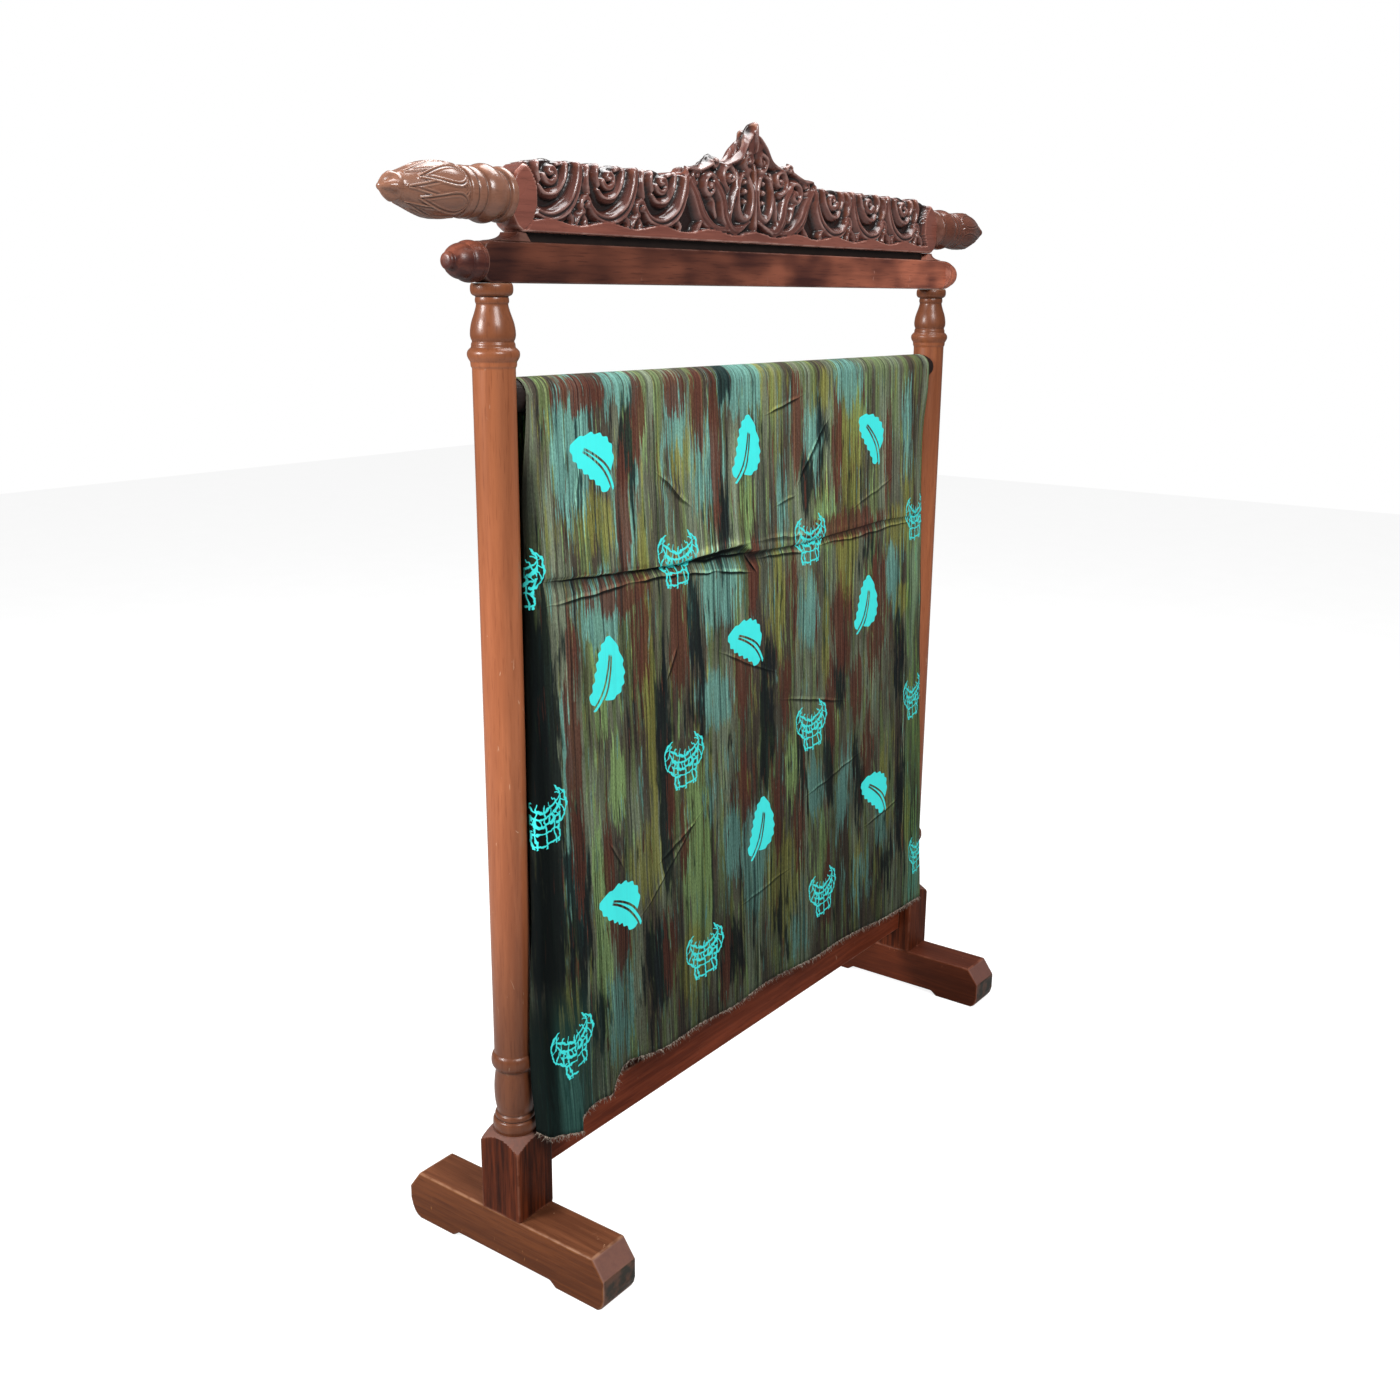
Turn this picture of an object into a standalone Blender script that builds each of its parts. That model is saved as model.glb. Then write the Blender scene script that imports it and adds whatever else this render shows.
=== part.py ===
"""Batik cloth draped over the round rod of a carved wooden rack, at its real size.

Metres, +Z up. The origin lies on the floor, midway between the two feet.
+X runs along the rack to the right, and -Y is the front, where the cloth shows its face.
"""
import math

import bpy

# Clear gap that two touching pieces keep
GAP = 0.0003
MERGE = 0.00001
TURNING_STEPS = 20

# Posts: a square block below and a turned shaft above, from one length of wood
POST_X = 0.600
POST_RADIUS = 0.0287
POST_TOP = 1.4462
BLOCK_WIDTH = 0.076
BLOCK_DEPTH = 0.078
BLOCK_TOP = 0.2165

# Feet: a long sledge under each post, relieved between its two pads
FOOT_WIDTH = 0.074
FOOT_HEIGHT = 0.083
FOOT_HALF_LENGTH = 0.203
FOOT_TOP_HALF_LENGTH = 0.1806
FOOT_CHAMFER_FOOT = 0.052
FOOT_PAD_INNER = 0.108
FOOT_RELIEF = 0.009
FOOT_RELIEF_SLOPE = 0.012
FOOT_FRONT_CORNER = 0.006
FOOT_REAR_CORNER = 0.022

# Stretcher between the two blocks
STRETCHER_BOTTOM = 0.131
STRETCHER_TOP = 0.205
STRETCHER_THICK = 0.028

# Head rail on the posts, with a turned knob on each end
RAIL_BOTTOM = 1.4465
RAIL_TOP = 1.4986
RAIL_HALF_LENGTH = 0.627
RAIL_THICK = 0.0312
RAIL_CORNER = 0.014

# Carved beam, which stands on two spacers above the rail
BEAM_BOTTOM = 1.5110
BEAM_HALF_LENGTH = 0.578
BEAM_THICK = 0.044
BEAM_TOP = 1.6005
SCALLOP_RISE = 0.0045
SCALLOPS = 5
CREST_CENTRE = -0.026
CREST_HALF_WIDTH = 0.178
SPACER_TOP_CLEAR = BEAM_BOTTOM - GAP
SPACER_COVE_SHARE = 0.92

# Rod that carries the cloth, seated in a shallow socket in each post
ROD_RADIUS = 0.0225
ROD_CENTRE_Z = 1.3015
ROD_SIDES = 24
SOCKET_DEPTH = 0.010

# Cloth: one length, cut square, laid over the rod and left to hang on both sides
CLOTH_THICK = 0.002
CLOTH_ON_ROD = 0.0006
CLOTH_RADIUS = ROD_RADIUS + CLOTH_ON_ROD + CLOTH_THICK / 2
CLOTH_FLAT_WIDTH = 1.15
ROD_END_LEFT = -0.5655
ROD_END_RIGHT = 0.5600
FRONT_LEAN = 0.0405
REAR_HEM = 0.236
MARGIN_FLAT = 0.022
MARGIN_RADIUS = 0.009
MARGIN_SETTLES_IN = 0.16
MARGIN_ON_ROD = 0.45
TAIL_FOLD_X = -0.5300
TAIL_FOLD_WIDTH = 0.005
TAIL_FORWARD = 0.010
TAIL_REACH = 0.24
STRIP_CREASE_X = 0.476
STRIP_BACK = 0.16
RIDGE_SHARE = 0.35
RIDGE_FADE = 0.045
RECESS_SHARE = 0.30

# Turned outline of a post above its block, top to bottom: height, radius
POST_TURNING = (
    (POST_TOP, 0.0262), (1.4430, 0.0280), (1.4350, 0.0280), (1.4310, 0.0255),
    (1.4296, 0.0210), (1.4270, 0.0222), (1.4222, 0.0222), (1.4200, 0.0205),
    (1.4100, 0.0232), (1.3960, 0.0284), (1.3825, 0.0302), (1.3765, 0.0292),
    (1.3730, 0.0272), (1.3700, 0.0290), (1.3655, 0.0290), (1.3638, 0.0312),
    (1.3600, 0.0346), (1.3540, 0.0348), (1.3485, 0.0318), (1.3470, 0.0305),
    (1.3415, 0.0305), (1.3390, POST_RADIUS), (0.3450, POST_RADIUS), (0.3425, 0.0315),
    (0.3360, 0.0334), (0.3270, 0.0334), (0.3215, 0.0300), (0.3190, 0.0268),
    (0.3050, 0.0292), (0.2850, 0.0308), (0.2620, 0.0296), (0.2480, 0.0262),
    (0.2455, 0.0300), (0.2400, 0.0306), (0.2385, 0.0290), (0.2370, 0.0322),
    (0.2330, 0.0338), (0.2230, 0.0338), (0.2180, 0.0310), (BLOCK_TOP - 0.010, 0.0310),
)

# Turned lotus-bud finial: distance from the beam's end, radius, from the tip back to the seat
FINIAL_TURNING = (
    (0.2070, 0.0018), (0.2030, 0.0070), (0.1950, 0.0130), (0.1860, 0.0172), (0.1780, 0.0186),
    (0.1660, 0.0222), (0.1500, 0.0280), (0.1340, 0.0325), (0.1190, 0.0345), (0.1020, 0.0335),
    (0.0870, 0.0305), (0.0820, 0.0290), (0.0800, 0.0312), (0.0700, 0.0322), (0.0685, 0.0302),
    (0.0665, 0.0322), (0.0560, 0.0318), (0.0530, 0.0290), (0.0490, 0.0325), (0.0400, 0.0365),
    (0.0310, 0.0362), (0.0190, 0.0318), (0.0130, 0.0298), (0.0115, 0.0335), (0.0060, 0.0348),
    (0.0010, 0.0335), (0.0, 0.0325),
)
FINIAL_Z = 1.5555

# Turned knob on the rail's ends: distance from the rail's end, radius, tip to seat
KNOB_TURNING = (
    (0.0590, 0.0020), (0.0575, 0.0062), (0.0520, 0.0088), (0.0470, 0.0110), (0.0420, 0.0150),
    (0.0320, 0.0205), (0.0220, 0.0236), (0.0150, 0.0240), (0.0135, 0.0254), (0.0090, 0.0262),
    (0.0030, 0.0258), (0.0, 0.0240),
)
KNOB_Z = 1.4725

# Right half of the crest: distance from its middle, height
CREST_SIDE = (
    (0.0050, 1.6920), (0.0140, 1.6790), (0.0380, 1.6480), (0.0600, 1.6345), (0.0800, 1.6285),
    (0.0930, 1.6335), (0.1060, 1.6385), (0.1160, 1.6350), (0.1250, 1.6265), (0.1450, 1.6160),
    (0.1600, 1.6165), (0.1700, 1.6170), (0.1760, 1.6105), (CREST_HALF_WIDTH, 1.6020),
)

# Right end of the carved beam, from the top round to the bottom: place along the beam, height
BEAM_END = (
    (0.5150, 1.6030), (0.5350, 1.6005), (0.5540, 1.5945), (0.5660, 1.5850), (0.5735, 1.5730),
    (BEAM_HALF_LENGTH, 1.5640), (BEAM_HALF_LENGTH, 1.5380), (0.5735, 1.5270),
    (0.5660, 1.5165), (0.5570, BEAM_BOTTOM),
)

# Spacer outline on the right: place along the rail, height above the rail's top
SPACER_FOOT_INNER = 0.5400
SPACER_FOOT_OUTER = 0.6040
SPACER_HEAD_INNER = 0.5500
SPACER_HEAD_OUTER = 0.5660

# Filler strip between the spacers, set back from the faces of rail and beam
FILLER_THICK = 0.016

# Front hem, left to right: place along the rack, height. The tail hangs lowest.
FRONT_HEM = (
    (-0.610, 0.2290), (-0.591, 0.2243), (-0.533, 0.2046), (-0.527, 0.2184), (-0.470, 0.2300),
    (-0.459, 0.2290), (-0.448, 0.2510), (-0.421, 0.2578), (-0.398, 0.2608), (-0.258, 0.2477),
    (-0.044, 0.2484), (0.199, 0.2405), (0.484, 0.2254), (0.579, 0.2095),
)

# Storage crease across the front: place, height of its lip, height where it ends, depth
CREASE = (
    (-0.610, 1.0560, 1.0280, 0.0020), (-0.533, 1.0550, 1.0270, 0.0050),
    (-0.460, 1.0470, 1.0230, 0.0080), (-0.350, 1.0400, 1.0225, 0.0100),
    (-0.250, 1.0350, 1.0190, 0.0120), (-0.170, 1.0400, 1.0120, 0.0130),
    (-0.080, 1.0450, 0.9970, 0.0140), (-0.045, 1.0280, 0.9920, 0.0120),
    (0.020, 1.0240, 1.0060, 0.0070), (0.100, 1.0215, 1.0080, 0.0060),
    (0.250, 1.0260, 1.0120, 0.0050), (0.370, 1.0300, 1.0160, 0.0040),
    (0.470, 1.0270, 1.0140, 0.0020), (0.600, 1.0250, 1.0130, 0.0010),
)

# Left and right edge of the front drop: height, left edge, right edge
FRONT_EDGES = (
    (0.200, -0.5920, 0.5790), (0.290, -0.5960, 0.5750), (0.440, -0.5900, 0.5690),
    (0.740, -0.5780, 0.5600), (1.030, -0.5640, 0.5585), (1.160, -0.5605, 0.5590),
    (1.3015, -0.5560, 0.5600),
)

# Soft folds of the front drop: place at the hem, drift per metre up, half width,
# depth (+ is away from the viewer), reach up from the hem
FRONT_FOLDS = (
    (-0.497, 0.00, 0.026, 0.0060, 0.30), (-0.452, 0.04, 0.020, -0.0070, 0.50),
    (-0.405, 0.03, 0.024, 0.0050, 0.55), (-0.330, -0.05, 0.040, -0.0050, 0.60),
    (-0.230, 0.02, 0.050, 0.0040, 0.45), (-0.120, 0.03, 0.050, -0.0040, 0.50),
    (0.010, 0.00, 0.060, 0.0040, 0.40), (0.140, -0.02, 0.055, -0.0045, 0.60),
    (0.270, 0.00, 0.060, 0.0040, 0.45), (0.390, 0.02, 0.050, -0.0040, 0.55),
)

# Soft folds of the rear drop, in the same columns
REAR_FOLDS = (
    (-0.450, 0.02, 0.070, 0.0070, 0.80), (-0.240, -0.02, 0.060, 0.0060, 0.60),
    (0.010, 0.03, 0.080, 0.0080, 0.90), (0.230, 0.00, 0.060, 0.0060, 0.55),
    (0.420, -0.02, 0.060, 0.0070, 0.75),
)

# Rows and columns of the cloth's mesh
ROWS_BELOW_CREASE = 16
ROWS_ABOVE_CREASE = 7
ROWS_OVER_ROD = 8
ROWS_REAR = 12
COLUMNS_MARGIN = 3
COLUMNS_TAIL = 4
COLUMNS_MAIN = 26

WOODS = {
    "post": ((0.27, 0.085, 0.035), 0.34),
    "foot": ((0.22, 0.075, 0.035), 0.42),
    "rail": ((0.15, 0.040, 0.025), 0.33),
    "carving": ((0.16, 0.050, 0.035), 0.36),
}


def clear_scene():
    for obj in list(bpy.data.objects):
        bpy.data.objects.remove(obj, do_unlink=True)


def new_collection(name):
    collection = bpy.data.collections.new(name)
    bpy.context.scene.collection.children.link(collection)
    return collection


def new_material(name, colour, roughness):
    material = bpy.data.materials.new(name)
    material.use_nodes = True
    shader = material.node_tree.nodes["Principled BSDF"]
    shader.inputs["Base Color"].default_value = (*colour, 1.0)
    shader.inputs["Roughness"].default_value = roughness
    shader.inputs["Metallic"].default_value = 0.0
    return material


def place(obj, collection, material=None):
    for home in list(obj.users_collection):
        home.objects.unlink(obj)
    collection.objects.link(obj)
    if material is not None:
        obj.data.materials.append(material)
    return obj


def add_box(name, low, high):
    """A box primitive between two corners, with its size in its mesh."""
    bpy.ops.mesh.primitive_cube_add(size=1.0)
    obj = bpy.context.active_object
    obj.name = name
    size = [b - a for a, b in zip(low, high)]
    centre = [(a + b) / 2 for a, b in zip(low, high)]
    for vertex in obj.data.vertices:
        vertex.co = [c + s * v for c, s, v in zip(centre, size, vertex.co)]
    return obj


def add_turning(name, stations):
    """A turned solid: stations of (height, radius), top to bottom, spun about Z."""
    outline = [(0.0, stations[0][0])]
    outline += [(radius, height) for height, radius in stations]
    outline.append((0.0, stations[-1][0]))
    mesh = bpy.data.meshes.new(name)
    points = [(radius, 0.0, height) for radius, height in outline]
    edges = [(i, i + 1) for i in range(len(points) - 1)]
    mesh.from_pydata(points, edges, [])
    obj = bpy.data.objects.new(name, mesh)
    screw = obj.modifiers.new("Turning", "SCREW")
    screw.axis = "Z"
    screw.angle = math.tau
    screw.steps = TURNING_STEPS
    screw.render_steps = TURNING_STEPS
    screw.use_merge_vertices = True
    screw.merge_threshold = MERGE
    screw.use_smooth_shade = True
    bpy.context.scene.collection.objects.link(obj)
    return obj


def add_outline(name, points, thickness):
    """A flat outline in the curve's own XY plane, extruded to a thickness."""
    curve = bpy.data.curves.new(name, "CURVE")
    curve.dimensions = "2D"
    curve.fill_mode = "BOTH"
    curve.extrude = thickness / 2
    spline = curve.splines.new("POLY")
    spline.points.add(len(points) - 1)
    for point, (across, up) in zip(spline.points, points):
        point.co = (across, up, 0.0, 1.0)
    spline.use_cyclic_u = True
    obj = bpy.data.objects.new(name, curve)
    bpy.context.scene.collection.objects.link(obj)
    return obj


def add_boolean(obj, tool, operation):
    boolean = obj.modifiers.new(operation.title(), "BOOLEAN")
    boolean.object = tool
    boolean.operation = operation
    boolean.solver = "EXACT"


def hide_tool(tool, collection):
    place(tool, collection)
    tool.hide_render = True
    tool.display_type = "WIRE"


def mirrored(points):
    """Right-hand points and their mirror images, as one closed outline."""
    return list(points) + [(-across, up) for across, up in reversed(points)]


def interpolate(table, column, where):
    """Value of a column of a table whose first column is sorted, straight between rows."""
    if where <= table[0][0]:
        return table[0][column]
    for before, after in zip(table, table[1:]):
        if where <= after[0]:
            share = (where - before[0]) / (after[0] - before[0])
            return before[column] + share * (after[column] - before[column])
    return table[-1][column]


def ease(low, high, value):
    share = min(1.0, max(0.0, (value - low) / (high - low)))
    return share * share * (3.0 - 2.0 * share)


def mix(a, b, share):
    return a + (b - a) * share


def build_post(name, side, material, parts, tools):
    post = add_turning(name, POST_TURNING)
    post.location.x = side * POST_X
    place(post, parts, material)
    block = add_box(
        name + "_block_tool",
        (side * POST_X - BLOCK_WIDTH / 2, -BLOCK_DEPTH / 2, FOOT_HEIGHT + GAP),
        (side * POST_X + BLOCK_WIDTH / 2, BLOCK_DEPTH / 2, BLOCK_TOP),
    )
    hide_tool(block, tools)
    add_boolean(post, block, "UNION")
    inner = side * (POST_X - POST_RADIUS)
    socket = add_rod_shape(name + "_socket_tool", inner, side * SOCKET_DEPTH, ROD_RADIUS + GAP)
    hide_tool(socket, tools)
    add_boolean(post, socket, "DIFFERENCE")
    return post


def add_rod_shape(name, middle, half_length, radius):
    """A cylinder along X, used for the rod and for the sockets that take its ends."""
    bpy.ops.mesh.primitive_cylinder_add(
        vertices=ROD_SIDES, radius=radius, depth=2 * abs(half_length),
        location=(middle, 0.0, ROD_CENTRE_Z), rotation=(0.0, math.pi / 2, 0.0),
    )
    rod = bpy.context.active_object
    rod.name = name
    return rod


def build_rod(material, parts):
    half_length = POST_X - POST_RADIUS + SOCKET_DEPTH - GAP
    rod = add_rod_shape("cloth_rod", 0.0, half_length, ROD_RADIUS)
    rod.data.shade_smooth()
    rod.data.set_sharp_from_angle(angle=math.radians(50))
    return place(rod, parts, material)


def build_foot(name, side, material, parts):
    """Side outline of a sledge foot, front to the left, extruded across its width."""
    front = -FOOT_HALF_LENGTH
    rear = FOOT_HALF_LENGTH
    outline = [
        (front, FOOT_CHAMFER_FOOT), (front, FOOT_FRONT_CORNER), (front + FOOT_FRONT_CORNER, 0.0),
        (-FOOT_PAD_INNER, 0.0), (-FOOT_PAD_INNER + FOOT_RELIEF_SLOPE, FOOT_RELIEF),
        (FOOT_PAD_INNER - FOOT_RELIEF_SLOPE, FOOT_RELIEF), (FOOT_PAD_INNER, 0.0),
        (rear - FOOT_REAR_CORNER, 0.0), (rear - FOOT_REAR_CORNER / 4, FOOT_REAR_CORNER / 2),
        (rear, FOOT_REAR_CORNER * 1.4), (rear, FOOT_CHAMFER_FOOT),
        (FOOT_TOP_HALF_LENGTH, FOOT_HEIGHT), (-FOOT_TOP_HALF_LENGTH, FOOT_HEIGHT),
    ]
    foot = add_outline(name, outline, FOOT_WIDTH)
    foot.rotation_euler = (math.pi / 2, 0.0, math.pi / 2)
    foot.location.x = side * POST_X
    return place(foot, parts, material)


def build_stretcher(material, parts):
    half_length = POST_X - BLOCK_WIDTH / 2 - GAP
    stretcher = add_box(
        "stretcher",
        (-half_length, -STRETCHER_THICK / 2, STRETCHER_BOTTOM),
        (half_length, STRETCHER_THICK / 2, STRETCHER_TOP),
    )
    return place(stretcher, parts, material)


def build_head_rail(material, parts):
    """Rail with round corners at its ends, as seen from the front."""
    corner = []
    for step in range(5):
        angle = math.radians(90 * step / 4)
        corner.append((
            RAIL_HALF_LENGTH - RAIL_CORNER * (1 - math.sin(angle)),
            RAIL_TOP - RAIL_CORNER * (1 - math.cos(angle)),
        ))
    middle = (RAIL_TOP + RAIL_BOTTOM) / 2
    right = corner + [(across, 2 * middle - up) for across, up in reversed(corner)]
    rail = add_outline("head_rail", mirrored(right), RAIL_THICK)
    rail.rotation_euler.x = math.pi / 2
    return place(rail, parts, material)


def build_end_turning(name, side, stations, end, height, material, parts):
    """A turned piece on the end of a rail or beam, its tip pointing outwards."""
    turning = add_turning(name, stations)
    turning.rotation_euler.y = side * math.pi / 2
    turning.location = (side * (end + GAP), 0.0, height)
    return place(turning, parts, material)


def build_spacer(name, side, material, parts):
    """Spacer between rail and beam, with a cove cut into its outer end."""
    foot = RAIL_TOP + GAP
    rise = SPACER_TOP_CLEAR - foot
    run = SPACER_FOOT_OUTER - SPACER_HEAD_OUTER
    cove = []
    for step in range(1, 5):
        angle = math.radians(90 * step / 5)
        cove.append((
            SPACER_HEAD_OUTER + run * (1 - math.cos(angle)),
            SPACER_TOP_CLEAR - rise * SPACER_COVE_SHARE * math.sin(angle),
        ))
    outline = [(SPACER_FOOT_INNER, foot), (SPACER_HEAD_INNER, SPACER_TOP_CLEAR)]
    outline.append((SPACER_HEAD_OUTER, SPACER_TOP_CLEAR))
    outline += cove
    outline.append((SPACER_FOOT_OUTER, foot))
    spacer = add_outline(name, [(side * across, up) for across, up in outline], RAIL_THICK)
    spacer.rotation_euler.x = math.pi / 2
    return place(spacer, parts, material)


def build_filler_strip(material, parts):
    """Closes the gap between rail and beam, from one spacer to the other."""
    half_length = SPACER_FOOT_INNER - GAP
    strip = add_box(
        "filler_strip",
        (-half_length, -FILLER_THICK / 2, RAIL_TOP + GAP),
        (half_length, FILLER_THICK / 2, SPACER_TOP_CLEAR),
    )
    return place(strip, parts, material)


def scalloped_top(start, finish, count):
    """Humps along the top edge of the beam between two places."""
    steps = 4
    points = []
    for step in range(1, count * steps):
        share = step / (count * steps)
        hump = abs(math.sin(math.pi * share * count))
        points.append((mix(start, finish, share), BEAM_TOP + SCALLOP_RISE * hump))
    return points


def build_carved_beam(material, parts):
    """The outline of the carved beam with its crest, front and rear carved alike."""
    crest_right = [(CREST_CENTRE + across, up) for across, up in CREST_SIDE]
    crest_left = [(CREST_CENTRE - across, up) for across, up in reversed(CREST_SIDE)]
    top_right = scalloped_top(CREST_CENTRE + CREST_HALF_WIDTH, BEAM_END[0][0], SCALLOPS)
    top_left = scalloped_top(-BEAM_END[0][0], CREST_CENTRE - CREST_HALF_WIDTH, SCALLOPS)
    end_left = [(-across, up) for across, up in reversed(BEAM_END)]
    outline = crest_left + crest_right + top_right + list(BEAM_END) + end_left + top_left
    beam = add_outline("carved_beam", outline, BEAM_THICK)
    beam.rotation_euler.x = math.pi / 2
    return place(beam, parts, material)


def fold_depth(folds, across, above_hem):
    """Sum of the soft folds at a place; each fades out towards the top of its reach."""
    depth = 0.0
    for place_at_hem, drift, half_width, height, reach in folds:
        if above_hem < reach:
            offset = (across - place_at_hem - drift * above_hem) / half_width
            fade = 1.0 - ease(0.0, reach, above_hem)
            depth += height * fade * math.exp(-offset * offset)
    return depth


def share_at(across, height):
    """Share of the flat width that hangs at a place of the front drop."""
    margin_share = MARGIN_FLAT / CLOTH_FLAT_WIDTH
    left = interpolate(FRONT_EDGES, 1, height)
    right = interpolate(FRONT_EDGES, 2, height)
    return margin_share + (1.0 - margin_share) * (across - left) / (right - left)


def cloth_columns():
    """Shares of the flat width at which the mesh has its columns, two of them at the tail's fold."""
    margin_share = MARGIN_FLAT / CLOTH_FLAT_WIDTH
    fold_start = share_at(TAIL_FOLD_X - TAIL_FOLD_WIDTH, FRONT_HEM[2][1])
    fold_end = share_at(TAIL_FOLD_X, FRONT_HEM[2][1])
    columns = [margin_share * i / COLUMNS_MARGIN for i in range(COLUMNS_MARGIN)]
    columns += [mix(margin_share, fold_start, i / COLUMNS_TAIL) for i in range(COLUMNS_TAIL + 1)]
    columns += [mix(fold_end, 1.0, i / COLUMNS_MAIN) for i in range(COLUMNS_MAIN + 1)]
    return columns


def cloth_rows():
    """Rows from the front hem, up and over the rod, to the rear hem: zone and share."""
    rows = [("below", i / ROWS_BELOW_CREASE) for i in range(ROWS_BELOW_CREASE)]
    rows += [("crease", 0.0), ("crease", 1.0 - RECESS_SHARE), ("crease", 1.0)]
    rows += [("above", i / ROWS_ABOVE_CREASE) for i in range(1, ROWS_ABOVE_CREASE)]
    rows += [("rod", i / ROWS_OVER_ROD) for i in range(ROWS_OVER_ROD + 1)]
    rows += [("rear", i / ROWS_REAR) for i in range(1, ROWS_REAR + 1)]
    return rows


def front_point(share, height_of):
    """A point of the front drop. height_of gives its height once its place is known."""
    margin_share = MARGIN_FLAT / CLOTH_FLAT_WIDTH
    inside = max(0.0, share - margin_share) / (1.0 - margin_share)
    left = interpolate(FRONT_EDGES, 1, 0.60)
    right = interpolate(FRONT_EDGES, 2, 0.60)
    height = height_of(mix(left, right, inside))
    left = interpolate(FRONT_EDGES, 1, height)
    right = interpolate(FRONT_EDGES, 2, height)
    across = mix(left, right, inside)
    height = height_of(across)
    drop = ROD_CENTRE_Z - height
    depth = -CLOTH_RADIUS - FRONT_LEAN * drop
    depth += fold_depth(FRONT_FOLDS, across, height - interpolate(FRONT_HEM, 1, across))
    depth += crease_depth(across, height)
    tail = ease(0.0, TAIL_FOLD_WIDTH, TAIL_FOLD_X - across)
    depth -= TAIL_FORWARD * tail * (1.0 - ease(0.0, TAIL_REACH, height - FRONT_HEM[2][1]))
    settled = ease(0.0, MARGIN_SETTLES_IN, drop)
    depth += settled * STRIP_BACK * max(0.0, across - STRIP_CREASE_X)
    turned = max(0.0, margin_share - share) * CLOTH_FLAT_WIDTH
    quarter = MARGIN_RADIUS * math.pi / 2
    angle = min(turned, quarter) / MARGIN_RADIUS
    across -= settled * MARGIN_RADIUS * math.sin(angle) + (1.0 - settled) * turned * MARGIN_ON_ROD
    depth += settled * (MARGIN_RADIUS * (1.0 - math.cos(angle)) + max(0.0, turned - quarter))
    return across, depth, height


def crease_depth(across, height):
    """Lip, recess and foot of the storage crease, as an offset away from the viewer."""
    lip = interpolate(CREASE, 1, across)
    foot = interpolate(CREASE, 2, across)
    depth = interpolate(CREASE, 3, across)
    if height >= lip:
        return -RIDGE_SHARE * depth * math.exp(-(height - lip) / RIDGE_FADE)
    recess = mix(lip, foot, RECESS_SHARE)
    if height >= recess:
        return mix(-RIDGE_SHARE * depth, depth * (1 - RIDGE_SHARE), (lip - height) / (lip - recess))
    if height >= foot:
        return depth * (1 - RIDGE_SHARE) * (height - foot) / (recess - foot)
    return 0.0


def cloth_point(share, row):
    zone, part = row
    if zone in ("below", "crease", "above"):
        def height_of(across):
            lip = interpolate(CREASE, 1, across)
            foot = interpolate(CREASE, 2, across)
            if zone == "below":
                return mix(interpolate(FRONT_HEM, 1, across), foot, part)
            if zone == "crease":
                return mix(foot, lip, part)
            return mix(lip, ROD_CENTRE_Z, part)
        return front_point(share, height_of)
    across = mix(ROD_END_LEFT, ROD_END_RIGHT, share)
    if zone == "rod":
        angle = math.pi * part
        if part == 0.0:
            return front_point(share, lambda place_along: ROD_CENTRE_Z)
        return (
            across,
            -CLOTH_RADIUS * math.cos(angle),
            ROD_CENTRE_Z + CLOTH_RADIUS * math.sin(angle),
        )
    height = mix(ROD_CENTRE_Z, REAR_HEM, part)
    depth = CLOTH_RADIUS + fold_depth(REAR_FOLDS, across, height - REAR_HEM)
    return across, depth, height


def build_cloth(material, parts):
    """A flat grid of the cut length, each point moved to where it hangs, then thickened."""
    columns = cloth_columns()
    rows = cloth_rows()
    bpy.ops.mesh.primitive_grid_add(
        x_subdivisions=len(columns) - 1, y_subdivisions=len(rows) - 1, size=1.0,
    )
    cloth = bpy.context.active_object
    cloth.name = "cloth"
    for vertex in cloth.data.vertices:
        column = round((vertex.co.x + 0.5) * (len(columns) - 1))
        row = round((vertex.co.y + 0.5) * (len(rows) - 1))
        vertex.co = cloth_point(columns[column], rows[row])
    cloth.data.shade_smooth()
    thickness = cloth.modifiers.new("Thickness", "SOLIDIFY")
    thickness.thickness = CLOTH_THICK
    thickness.offset = 0.0
    return place(cloth, parts, material)


def build_rack_and_cloth():
    clear_scene()
    parts = new_collection("batik_cloth_on_rack")
    tools = new_collection("cutting_tools")
    woods = {name: new_material(name + "_wood", *look) for name, look in WOODS.items()}
    batik = new_material("batik_cotton", (0.09, 0.12, 0.09), 0.8)
    for label, side in (("left", -1), ("right", 1)):
        build_foot("foot_" + label, side, woods["foot"], parts)
        build_post("post_" + label, side, woods["post"], parts, tools)
        build_spacer("spacer_" + label, side, woods["rail"], parts)
        build_end_turning(
            "rail_knob_" + label, side, KNOB_TURNING, RAIL_HALF_LENGTH, KNOB_Z,
            woods["rail"], parts,
        )
        build_end_turning(
            "bud_finial_" + label, side, FINIAL_TURNING, BEAM_HALF_LENGTH, FINIAL_Z,
            woods["carving"], parts,
        )
    build_stretcher(woods["foot"], parts)
    build_head_rail(woods["rail"], parts)
    build_filler_strip(woods["rail"], parts)
    build_carved_beam(woods["carving"], parts)
    build_rod(woods["post"], parts)
    build_cloth(batik, parts)


build_rack_and_cloth()
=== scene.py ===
# %% [markdown]
# # Batik cloth on a carved wooden rack
# A length of stamped, drip-dyed cotton hangs over the round rod of a wooden rack.
# The cells below load the measured model as a frame, then give each piece its finish:
# first the light, then the woods, the turnings and the carving, then the cloth and its dyes.
# Sizes are in metres where no comment says otherwise. +Z is up, and -Y is the side where the
# cloth shows its face.

# %% Load the measured frame
import math

import bmesh
import bpy
import numpy as np
from mathutils import Matrix, Vector


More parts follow.
